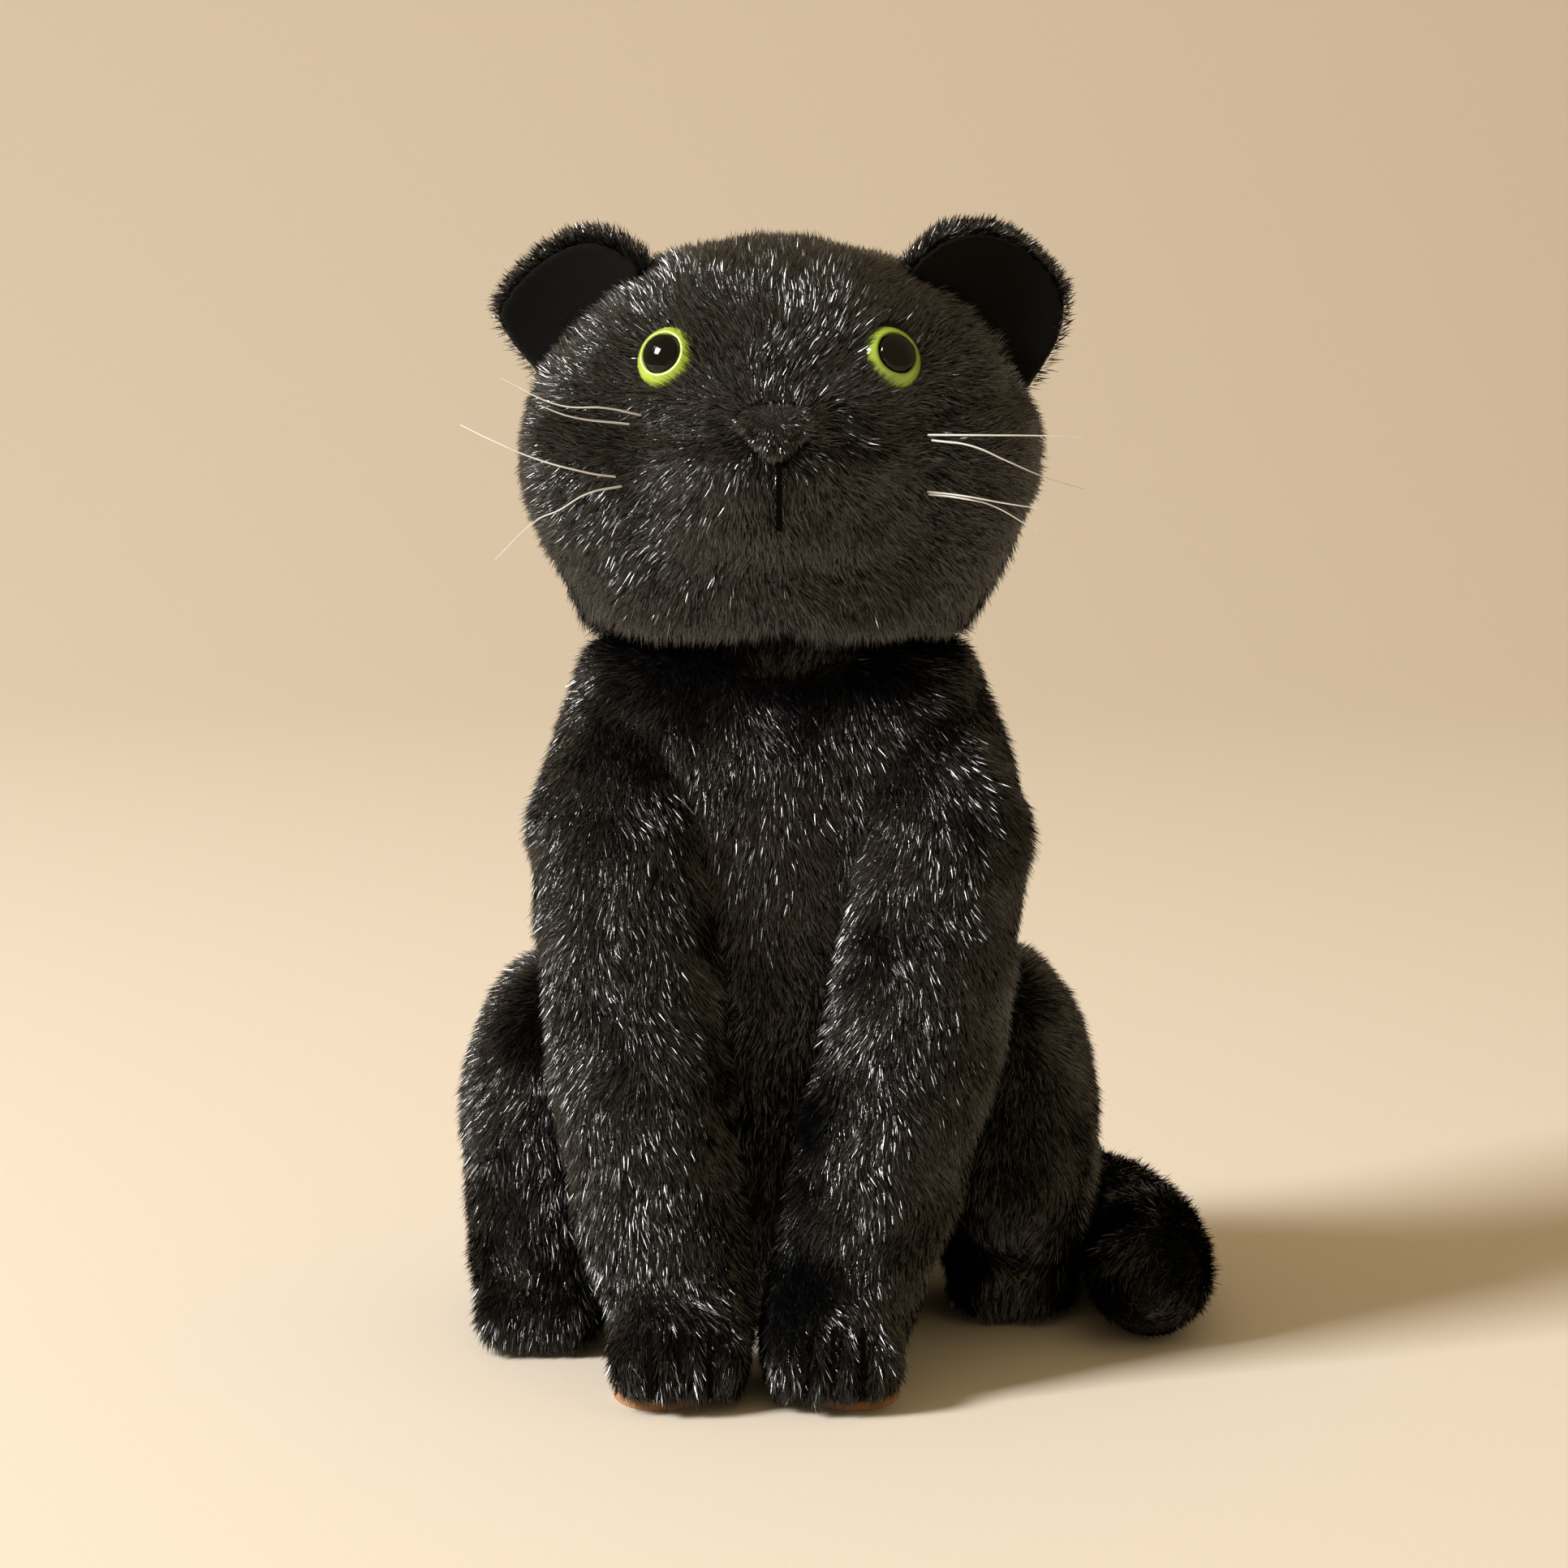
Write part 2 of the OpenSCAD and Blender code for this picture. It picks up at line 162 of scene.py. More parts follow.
def readPoints(mesh):
    points = np.empty(len(mesh.vertices) * 3, np.float32)
    mesh.vertices.foreach_get("co", points)
    return points.reshape(-1, 3).astype(float)


def writePoints(mesh, points):
    mesh.vertices.foreach_set("co", points.astype(np.float32).ravel())
    mesh.update()


def readNormals(mesh):
    normals = np.empty(len(mesh.vertices) * 3, np.float32)
    mesh.vertices.foreach_get("normal", normals)
    return normals.reshape(-1, 3).astype(float)


def unit(vectors):
    return vectors / np.maximum(np.linalg.norm(vectors, axis=-1, keepdims=True), 1e-9)


def applyModifiers(obj):
    graph = bpy.context.evaluated_depsgraph_get()
    done = bpy.data.meshes.new_from_object(obj.evaluated_get(graph), depsgraph=graph)
    obj.modifiers.clear()
    old = obj.data
    obj.data = done
    bpy.data.meshes.remove(old)


def reskin(obj, voxel, smooth=0):
    # one even skin over whatever overlaps, with voxels in mm, then relaxed
    skin = obj.modifiers.new("skin", "REMESH")
    skin.mode = "VOXEL"
    skin.voxel_size = voxel * mm
    if smooth:
        relax = obj.modifiers.new("relax", "SMOOTH")
        relax.factor = 0.5
        relax.iterations = smooth
    applyModifiers(obj)


def smoothShade(obj):
    obj.data.polygons.foreach_set("use_smooth", [True] * len(obj.data.polygons))


def softStep(x):
    x = np.clip(x, 0, 1)
    return x * x * (3 - 2 * x)


# floor and light: a seamless paper sweep, one soft box at the left, and a warm room; metres
sweep = {
    "width": 8.0, "front": -5.0, "back": 0.8, "bend": 1.5, "height": 3.0, "steps": 24,
    "colour": "#E9E0D3", "grain": "#E5DACB",
}
keyBox = {"at": (-1.47, -0.75, 1.25), "aim": (0.0, 0.0, 0.08), "size": 0.52, "watts": 53.0, "colour": "#FFFDFA"}
room = {"colour": "#FFE2AE", "strength": 0.42}


def makeSweep():
    bm = bmesh.new()
    steps = sweep["steps"]
    line = [(sweep["front"], 0), (sweep["back"], 0)]
    for i in range(1, steps + 1):
        a = math.pi / 2 * i / steps
        line.append((sweep["back"] + sweep["bend"] * math.sin(a), sweep["bend"] * (1 - math.cos(a))))
    line.append((sweep["back"] + sweep["bend"], sweep["height"]))
    verts = [bm.verts.new((-sweep["width"] / 2, y, z)) for y, z in line]
    edges = [bm.edges.new(pair) for pair in zip(verts, verts[1:])]
    bmesh.ops.extrude_edge_only(bm, edges=edges)
    bm.verts.ensure_lookup_table()
    bmesh.ops.translate(bm, verts=bm.verts[len(verts):], vec=(sweep["width"], 0, 0))
    bmesh.ops.recalc_face_normals(bm, faces=bm.faces)
    floor = fromBmesh("paper_sweep", bm)
    smoothShade(floor)
    # uncoated background paper: matte, with a faint felt grain
    mat, tree, surface = newMaterial("backgroundPaper", {"Roughness": 0.85, "Specular IOR Level": 0.25})
    where = addNode(tree, "ShaderNodeTexCoord")
    grain = addNode(tree, "ShaderNodeTexNoise", None, {
        "Vector": where.outputs["Object"], "Scale": 900.0, "Detail": 2.0,
    })
    tint = addNode(tree, "ShaderNodeMix", {"data_type": "RGBA"}, {
        "Factor": grain.outputs["Fac"], 6: linear(sweep["colour"]), 7: linear(sweep["grain"]),
    })
    tree.links.new(tint.outputs[2], surface.inputs["Base Color"])
    floor.data.materials.append(mat)
    floor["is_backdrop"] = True


def makeLight():
    box = bpy.data.lights.new("key_box", "AREA")
    box.shape = "RECTANGLE"
    box.size = box.size_y = keyBox["size"]
    box.energy = keyBox["watts"]
    box.color = linear(keyBox["colour"])[:3]
    lamp = newObject("key_box", box)
    lamp.location = keyBox["at"]
    lamp.rotation_euler = (Vector(keyBox["aim"]) - Vector(keyBox["at"])).to_track_quat("-Z", "Y").to_euler()
    world = bpy.data.worlds.new("studio")
    world.use_nodes = True
    air = world.node_tree.nodes["Background"]
    air.inputs["Color"].default_value = linear(room["colour"])
    air.inputs["Strength"].default_value = room["strength"]
    scene.world = world


makeSweep()
makeLight()


def makePileTone(name, colour, roughness):
    # acrylic pile fibre: dyed plastic hair, so a near black body with a hard bright glint along it
    return newMaterial(name, {
        "Base Color": linear(colour), "Roughness": roughness, "IOR": 1.53, "Coat Weight": 0.8, "Coat Roughness": 0.2,
    })[0]


pileTones = [
    makePileTone("acrylicPileBlack", "#050505", 0.29),
    makePileTone("acrylicPileBlueBlack", "#0B0C10", 0.27),
    makePileTone("acrylicPileBrownBlack", "#150E0B", 0.32),
    makePileTone("acrylicPileGrey", "#35363A", 0.27),
]


def makeKnitBacking():
    # knitted polyester backing under the pile: dull, with rows of loops that barely show
    mat, tree, surface = newMaterial("knitBacking", {"Roughness": 0.95, "IOR": 1.45, "Sheen Weight": 0.1})
    where = addNode(tree, "ShaderNodeTexCoord")
    loops = addNode(tree, "ShaderNodeTexVoronoi", None, {"Vector": where.outputs["Object"], "Scale": 900.0})
    patch = addNode(tree, "ShaderNodeTexNoise", None, {"Vector": where.outputs["Object"], "Scale": 160.0})
    shade = addNode(tree, "ShaderNodeMix", {"data_type": "RGBA"}, {
        "Factor": patch.outputs["Fac"], 6: linear("#030304"), 7: linear("#080707"),
    })
    tree.links.new(shade.outputs[2], surface.inputs["Base Color"])
    bump = addNode(tree, "ShaderNodeBump", None, {
        "Height": loops.outputs["Distance"], "Distance": 0.0003, "Strength": 0.6,
    })
    tree.links.new(bump.outputs["Normal"], surface.inputs["Normal"])
    return mat


knitBacking = makeKnitBacking()


sides = (("left", 1), ("right", -1))  # the cat's own left is +x

# soft forms: each has blobs, [middle, half sizes] in mm, and the groups of blobs that its fabric spans
pawShift = 3.5
pawX = {1: 11.8 - pawShift, -1: -11.8 - pawShift}
footY = {1: -10, -1: -27}


def forelegBlobs(s):
    toes = {
        f"toe{i}": [(pawX[s] + (i - 1.5) * 4.6, -62.5 - (1.4 if i in (1, 2) else 0), 7.6), (4, 5.6, 7.4)]
        for i in range(4)
    }
    return {
        "top": [(s * 20.5, -30, 100.5), (15, 15.5, 14)],
        "shoulder": [(s * 25, -37.5, 86.5), (14.8, 14.6, 15)],
        "elbow": [(s * 22 - 0.5, -44, 54), (14, 13.8, 15)],
        "wrist": [(s * 16.5 - 2.5, -49, 28), (13, 13, 13)],
        "paw": [(pawX[s], -55, 11), (11, 13, 11)],
        **toes,
    }


def hindBlobs(s):
    toes = {f"toe{i}": [(s * 39 + (i - 1) * 5.2, footY[s] - 5.5, 6.6), (4.2, 5.4, 6.4)] for i in range(3)}
    return {
        "haunch": [(s * 38, -2, 34), (14.5, 28, 28)],
        "knee": [(s * 39, -20, 27), (11, 11, 14)],
        "heel": [(s * 39, 8, 9.8), (9.5, 9.5, 9.5)],
        "foot": [(s * 39, footY[s], 9.6), (9.5, 9.5, 9.5)],
        **toes,
    }


def tailBlobs():
    ends = [Vector(p) for p in ((6, 36, 12), (42, 50, 11), (68, 27, 9.6), (61, -24, 9.6))]
    blobs = {}
    for i in range(9):
        t = i / 8
        at = ends[0] * (1 - t) ** 3 + ends[1] * 3 * t * (1 - t) ** 2 + ends[2] * 3 * t * t * (1 - t) + ends[3] * t**3
        r = 9 + 0.8 * math.sin(math.pi * min(t * 0.62, 0.5))
        blobs[f"t{i}"] = [tuple(at), (r, r, r)]
    return blobs


torsoBlobs = {
    "seat": [(0, 0, 6), (27, 25, 6)],
    "pelvis": [(0, 0, 30), (34, 29, 30)],
    "chest": [(0, -22, 83), (31, 24, 26)],
    "shoulderL": [(17, -27, 103), (17.5, 19, 19)],
    "shoulderR": [(-17, -27, 103), (17.5, 19, 19)],
}
headBlobs = {
    "skull": [(0, -30, 153.5), (37, 31, 26)],
    "brow": [(0, -38, 160.5), (22, 19, 17)],
    "cheekL": [(24, -36, 145.5), (17, 18, 20)],
    "cheekR": [(-24, -36, 145.5), (17, 18, 20)],
    "jaw": [(0, -31, 126), (33.5, 24, 18)],
    "muzzle": [(0, -55, 147.5), (19, 12, 11)],
    "chin": [(0, -50, 138.5), (20, 13, 10)],
}
forelegSpans = [("top", "shoulder"), ("shoulder", "elbow"), ("elbow", "wrist"), ("wrist", "paw")]
forelegSpans += [("paw", f"toe{i}") for i in range(4)]
hindSpans = [("haunch", "knee", "heel", "foot"), ("heel", "foot")] + [("foot", f"toe{i}") for i in range(3)]
tailSpans = [(f"t{i}", f"t{i + 1}") for i in range(8)]
legMake = {"voxel": 1.8, "smooth": 4, "cap": 1.0}

# shape and making of each stuffed piece: voxel, smoothing steps, most that it swells, and its flat ends, in mm
softPieces = {
    "torso": {
        "blobs": torsoBlobs,
        "spans": [("seat", "pelvis"), ("pelvis", "chest"), ("chest", "shoulderL", "shoulderR")],
        "voxel": 2.3,
        "smooth": 5,
        "cap": 1.4,
        "flat": (0, 115.5),
    },
    "head": {
        "blobs": headBlobs,
        "spans": [
            ("skull", "cheekL"), ("skull", "cheekR"), ("skull", "brow"), ("cheekL", "cheekR"), ("jaw", "cheekL"),
            ("skull", "jaw"), ("jaw", "cheekR"), ("brow", "muzzle"), ("muzzle", "chin"), ("chin", "jaw"),
        ],
        "voxel": 1.8,
        "smooth": 5,
        "cap": 1.2,
        "flat": (119.5, 400),
    },
    "foreleg_left": {"blobs": forelegBlobs(1), "spans": forelegSpans, **legMake},
    "foreleg_right": {"blobs": forelegBlobs(-1), "spans": forelegSpans, **legMake},
    "hind_leg_left": {"blobs": hindBlobs(1), "spans": hindSpans, **legMake},
    "hind_leg_right": {"blobs": hindBlobs(-1), "spans": hindSpans, **legMake},
    "tail": {"blobs": tailBlobs(), "spans": tailSpans, "voxel": 1.8, "smooth": 3, "cap": 1.0},
}


def addSpan(bm, blobs, grow):
    part = bmesh.new()
    for middle, half in blobs:
        place = Matrix.Translation(Vector(middle) * mm) @ Matrix.Diagonal([(h + grow) * mm for h in half] + [1])
        bmesh.ops.create_icosphere(part, subdivisions=3, radius=1, matrix=place)
    bmesh.ops.delete(part, geom=part.edges[:], context="EDGES_FACES")
    bmesh.ops.convex_hull(part, input=part.verts[:])
    spare = [v for v in part.verts if not v.link_faces]
    bmesh.ops.delete(part, geom=spare, context="VERTS")
    bmesh.ops.recalc_face_normals(part, faces=part.faces)
    mesh = bpy.data.meshes.new("part")
    part.to_mesh(mesh)
    part.free()
    bm.from_mesh(mesh)
    bpy.data.meshes.remove(mesh)


def makeForm(name, piece, grow, voxel, smooth):
    bm = bmesh.new()
    for span in piece["spans"]:
        addSpan(bm, [piece["blobs"][key] for key in span], grow)
    form = fromBmesh(name, bm)
    reskin(form, voxel, smooth)
    return form


def carve(obj, cutter):
    cut = obj.modifiers.new("cut", "BOOLEAN")
    cut.operation = "DIFFERENCE"
    cut.solver = "EXACT"
    cut.object = cutter
    applyModifiers(obj)


def ballForm(name, middle, radius):
    bm = bmesh.new()
    bmesh.ops.create_icosphere(bm, subdivisions=4, radius=radius * mm, matrix=Matrix.Translation(Vector(middle) * mm))
    return fromBmesh(name, bm)


startSmaller = -0.7  # the filling swells each piece by about this much, so it starts that much smaller
neckMiddle = (0, -28, 117.5)
skins = {}
for name, piece in softPieces.items():
    skins[name] = makeForm("skin_" + name, piece, startSmaller, piece["voxel"], piece["smooth"])
say("soft forms made")


def treeOf(obj):
    graph = bpy.context.evaluated_depsgraph_get()
    return BVHTree.FromObject(obj, graph)


# head and torso end flat where the neck joins them, each with a hollow for the neck ball
neckBall = ballForm("hollow_neck", neckMiddle, 15.0)
for name in ("torso", "head"):
    low, high = softPieces[name]["flat"]
    points = readPoints(skins[name].data)
    points[:, 2] = np.clip(points[:, 2], low * mm, high * mm)
    writePoints(skins[name].data, points)
    carve(skins[name], neckBall)
    reskin(skins[name], softPieces[name]["voxel"], 2)
say("hollows cut")

# swelling by cloth simulation, at ten times the size because the solver is tuned for larger things
swell = {
    "scale": 10, "pressure": 4.0, "frames": 20, "tension": 12.0, "bending": 0.6, "quality": 4, "mass": 0.3,
    "heldBelow": 1.2, "heldNear": 1.6,  # mm above the floor, and from the neck ball
}


def heldPoints(name, points):
    # fabric is held on the floor, and where head and torso meet the neck
    held = points[:, 2] < swell["heldBelow"] * mm
    if name in ("torso", "head"):
        tree = treeOf(neckBall)
        for i, p in enumerate(points):
            if not held[i] and tree.find_nearest(Vector(p), swell["heldNear"] * mm)[0] is not None:
                held[i] = True
    return held


def swellUp(name):
    obj, piece = skins[name], softPieces[name]
    rest = readPoints(obj.data)
    held = heldPoints(name, rest)
    group = obj.vertex_groups.new(name="held")
    group.add([int(i) for i in np.nonzero(held)[0]], 1.0, "REPLACE")
    obj.data.transform(Matrix.Scale(swell["scale"], 4))
    cloth = obj.modifiers.new("swell", "CLOTH")
    s = cloth.settings
    s.quality = swell["quality"]
    s.mass = swell["mass"]
    s.tension_stiffness = s.compression_stiffness = swell["tension"]
    s.bending_stiffness = swell["bending"]
    s.use_pressure = True
    s.uniform_pressure_force = swell["pressure"]
    s.effector_weights.gravity = 0
    if held.any():
        s.vertex_group_mass = "held"
    for f in range(1, swell["frames"] + 1):
        scene.frame_set(f)
    graph = bpy.context.evaluated_depsgraph_get()
    full = readPoints(obj.evaluated_get(graph).data) / swell["scale"]
    obj.modifiers.clear()
    scene.frame_set(1)
    obj.data.transform(Matrix.Scale(1 / swell["scale"], 4))
    move = full - rest
    far = np.linalg.norm(move, axis=1, keepdims=True)
    move *= np.minimum(1, piece["cap"] * mm / np.maximum(far, 1e-9))
    writePoints(obj.data, rest + move)
    obj.vertex_groups.clear()
    say(f"{name} swelled {np.linalg.norm(move, axis=1).mean() / mm:.2f} mm on average, most asked {far.max() / mm:.1f}")


for name in skins:
    swellUp(name)



def toeCreases(s):
    tops = ((-4.6, 13), (0, 14), (4.6, 13))
    return [{"line": [(pawX[s] + x, 1), (pawX[s] + x, top)], "width": 1.5, "depth": 1.2} for x, top in tops]


# creases and dimples, pressed into the front after the swelling: lines of (x, z) in mm
creases = {
    "head": [
        {"line": [(-1.2, 148), (-2.4, 143), (-3.8, 138.5)], "width": 3.0, "depth": 0.4},
        {"line": [(-41, 156.5), (-33, 153.5), (-24, 152), (-15, 151.5), (-8, 152.5)], "width": 3.4, "depth": 1.8},
        {"line": [(42, 157), (33, 155.5), (24, 153.5), (15, 151.5), (8, 152.5)], "width": 3.4, "depth": 2.2},
        {"line": [(-20, 132.5), (-10, 131), (0, 130.5), (10, 131), (18, 132)], "width": 4.0, "depth": 1.0},
    ],
    "foreleg_left": toeCreases(1) + [{"line": [(3, 20), (6, 22.5), (10, 22)], "width": 5, "depth": 1.6}],
    "foreleg_right": toeCreases(-1) + [{"line": [(-26, 20), (-20, 23), (-14, 21)], "width": 5, "depth": 1.8}],
}
dents = {
    "head": [
        {"at": (-22, -55, 162), "radius": 7, "depth": 1.6},
        {"at": (22, -55, 162), "radius": 7, "depth": 1.6},
        {"at": (-1.5, -66, 158.5), "radius": 7, "depth": 1.6},
    ],
}
floorGap = 0.1  # the knit stays this far above the floor, in mm


def press(name):
    mesh = skins[name].data
    points, normals = readPoints(mesh), readNormals(mesh)
    depth = np.zeros(len(points))
    for crease in creases.get(name, []):
        line = np.array(crease["line"], float) * mm
        flat = points[:, [0, 2]]
        near = np.full(len(points), 1e9)
        for a, b in zip(line, line[1:]):
            t = np.clip(((flat - a) @ (b - a)) / max(((b - a) ** 2).sum(), 1e-12), 0, 1)
            near = np.minimum(near, np.linalg.norm(flat - (a + t[:, None] * (b - a)), axis=1))
        front = softStep(-normals[:, 1] * 3)
        depth += crease["depth"] * mm * np.exp(-((near / (crease["width"] * mm)) ** 2)) * front
    for dent in dents.get(name, []):
        far = np.linalg.norm(points - np.array(dent["at"]) * mm, axis=1)
        depth += dent["depth"] * mm * np.exp(-((far / (dent["radius"] * mm)) ** 2))
    writePoints(mesh, points - normals * depth[:, None])


for name, skin in skins.items():
    finer = skin.modifiers.new("finer", "SUBSURF")
    finer.levels = finer.render_levels = 1
    applyModifiers(skin)
    press(name)
    low = readPoints(skin.data)
    low[:, 2] = np.maximum(low[:, 2], floorGap * mm)
    writePoints(skin.data, low)
    smoothShade(skin)
    skin.data.materials.clear()
    skin.data.materials.append(knitBacking)
say("creases pressed")


# the stuffed ball that carries the head: (radius, height) in mm, narrower from front to back
neckForm = {
    "outline": [
        (0.0, 106.5), (14.0, 107.5), (19.5, 110.5), (21.0, 115.0), (21.0, 119.0), (20.0, 124.0), (15.0, 127.5),
        (0.0, 128.5),
    ],
    "narrow": 0.64, "steps": 48, "voxel": 1.8, "smooth": 4,
}


def makeNeck():
    bm = bmesh.new()
    verts = [bm.verts.new((r * mm, 0, z * mm)) for r, z in neckForm["outline"]]
    for pair in zip(verts, verts[1:]):
        bm.edges.new(pair)
    bmesh.ops.spin(
        bm, geom=bm.verts[:] + bm.edges[:], cent=(0, 0, 0), axis=(0, 0, 1), angle=2 * math.pi,
        steps=neckForm["steps"], use_merge=True,
    )
    bmesh.ops.remove_doubles(bm, verts=bm.verts, dist=1e-6)
    bmesh.ops.scale(bm, vec=(1.0, neckForm["narrow"], 1.0), verts=bm.verts)
    bmesh.ops.translate(bm, vec=(0, neckMiddle[1] * mm, 0), verts=bm.verts)
    bmesh.ops.recalc_face_normals(bm, faces=bm.faces)
    neck = fromBmesh("skin_neck", bm)
    reskin(neck, neckForm["voxel"], neckForm["smooth"])
    smoothShade(neck)
    neck.data.materials.append(knitBacking)
    return neck


skins["neck"] = makeNeck()

# ears: cupped, furry behind, felt in front; degrees and mm
ear = {
    "yaw": 12, "lean": 14, "cup": 30, "back": 1.8, "lining": 0.9, "inset": 0.8, "foot": 1.5,
    # where the base's middle sits, how far it slants, and the outline: a peak part way along, a bow for each side
    "left": {
        "at": (29.6, -31, 167.6), "splay": 47, "width": 28.5, "height": 15.0,
        "peak": 0.6, "inner": (2.2, 2.2), "outer": (2.2, 2.2),
    },
    "right": {
        "at": (-29.0, -31, 167.4), "splay": 50, "width": 25.5, "height": 13.8,
        "peak": 0.68, "inner": (1.7, 3.0), "outer": (4.2, 1.5),
    },
}


def earMatrix(s):
    shape = ear["left" if s == 1 else "right"]
    turn = Matrix.Rotation(math.radians(ear["yaw"]), 4, "Z") @ Matrix.Rotation(math.radians(ear["lean"]), 4, "X")
    turn = turn @ Matrix.Rotation(math.radians(shape["splay"]), 4, "Y")
    x, y, z = shape["at"]
    return Matrix.Diagonal((s, 1, 1, 1)) @ Matrix.Translation(Vector((s * x, y, z)) * mm) @ turn


def earTop(shape, along):
    # height of the outline at a place along the base, both from 0 to 1
    peak = shape["peak"]
    out = along > peak
    reach = (along - peak) / (1 - peak) if out else (peak - along) / peak
    bow, flat = shape["outer"] if out else shape["inner"]
    return max(1 - reach**bow, 0) ** (1 / flat)


def makeEarLayer(name, s, radius, thickness, inset, voxel):
    shape = ear["left" if s == 1 else "right"]
    bm = bmesh.new()
    bmesh.ops.create_grid(bm, x_segments=30, y_segments=20, size=1)
    half, tall = shape["width"] / 2 - inset, shape["height"] - inset
    for v in bm.verts:
        u, h = math.sin(v.co.x * math.pi / 2), (v.co.y + 1) / 2
        x = u * half
        z = -ear["foot"] + h * (earTop(shape, (u + 1) / 2) * tall + ear["foot"])
        deep = max(radius**2 - x * x - (z - shape["height"] / 2) ** 2, 1)
        v.co = Vector((x, math.sqrt(deep) - ear["cup"], z)) * mm
    bmesh.ops.recalc_face_normals(bm, faces=bm.faces)
    bmesh.ops.solidify(bm, geom=bm.faces[:], thickness=thickness * mm)
    bmesh.ops.transform(bm, matrix=earMatrix(s), verts=bm.verts)
    bmesh.ops.recalc_face_normals(bm, faces=bm.faces)
    layer = fromBmesh(name, bm)
    reskin(layer, voxel, 3)
    smoothShade(layer)
    layer.data.materials.append(knitBacking)
    return layer


for word, s in sides:
    skins["ear_" + word] = makeEarLayer("skin_ear_" + word, s, ear["cup"] + ear["back"], ear["back"], 0, 0.7)
    lining = makeEarLayer("lining_ear_" + word, s, ear["cup"], ear["lining"], ear["inset"], 0.55)
    skins["lining_" + word] = lining
say("neck and ears made")


# face: safety eyes, nose pad and whiskers; mm and degrees
eye = {
    "ring": 5.0, "pupil": 3.1, "dome": 3.0, "sink": 1.6, "seat": 0.5, "polar": 68, "turn": -62,
    "under": 0.35, "back": -0.75, "lip": 0.12, "shell": 0.22, "gap": 0.02, "slices": 12,
    # rim colour and darker inner colour of each ring. The inner one is painted shade towards the pupil, and the cat's
    # right ring is lighter than the left as painted light from the key box on that side. Then where the one turns into
    # the other
    "left": ("#B4D14A", "#86A93A"), "right": ("#D0EC52", "#A9CF3A"), "shadeFrom": 3.2, "shadeTo": 5.0,
}
eyePlaces = {}


def domeHeight(r):
    big = (eye["ring"] ** 2 + eye["dome"] ** 2) / (2 * eye["dome"])
    return math.sqrt(max(big**2 - r * r, 0)) - (big - eye["dome"])


def spinProfile(name, line, place, mat, closed):
    bm = bmesh.new()
    verts = [bm.verts.new((r * mm, 0, z * mm)) for r, z in line]
    for pair in zip(verts, verts[1:] + verts[:1] if closed else verts[1:]):
        bm.edges.new(pair)
    bmesh.ops.spin(
        bm, geom=bm.verts[:] + bm.edges[:], cent=(0, 0, 0), axis=(0, 0, 1), angle=2 * math.pi, steps=56,
        use_merge=True,
    )
    bmesh.ops.remove_doubles(bm, verts=bm.verts, dist=1e-6)
    bmesh.ops.recalc_face_normals(bm, faces=bm.faces)
    bmesh.ops.transform(bm, matrix=place, verts=bm.verts)
    made = fromBmesh(name, bm)
    smoothShade(made)
    made.data.materials.append(mat)
    return made


def makeEyeGreen(name, place, rim, inner):
    # lime enamel brushed on the back of clear plastic: even in itself, with painted shade making it darker towards the
    # pupil
    mat, tree, surface = newMaterial(name, {
        "Roughness": 0.12, "IOR": 1.49, "Coat Weight": 0.6, "Coat Roughness": 0.03,
    })
    where = addNode(tree, "ShaderNodeTexCoord")
    off = addNode(tree, "ShaderNodeVectorMath", {"operation": "DISTANCE"}, {
        0: where.outputs["Object"], 1: tuple(place.translation),
    })
    grain = addNode(tree, "ShaderNodeTexNoise", None, {
        "Vector": where.outputs["Object"], "Scale": 2600.0, "Detail": 3.0,
    })
    wobble = addNode(tree, "ShaderNodeMath", {"operation": "MULTIPLY_ADD"}, {
        0: grain.outputs["Fac"], 1: 0.0006, 2: off.outputs["Value"],
    })
    # painted shade: the ring darkens from its rim in towards the pupil
    ramp = addNode(tree, "ShaderNodeMapRange", None, {
        "Value": wobble.outputs[0], "From Min": eye["shadeFrom"] * mm, "From Max": eye["shadeTo"] * mm,
    })
    tint = addNode(tree, "ShaderNodeMix", {"data_type": "RGBA"}, {
        "Factor": ramp.outputs[0], 6: linear(inner), 7: linear(rim),
    })
    tree.links.new(tint.outputs[2], surface.inputs["Base Color"])
    return mat


# black acrylic, injection moulded and polished: a hard clear highlight
pupilBlack = newMaterial("mouldedBlackAcrylic", {
    "Base Color": linear("#040303"), "Roughness": 0.05, "IOR": 1.49, "Specular IOR Level": 0.35,
})[0]
# clear acrylic dome, thin enough to see the ring through
clearDome = newMaterial("clearAcrylicDome", {
    "Base Color": linear("#050505"), "Roughness": 0.02, "IOR": 1.49, "Alpha": 0.05,
})[0]


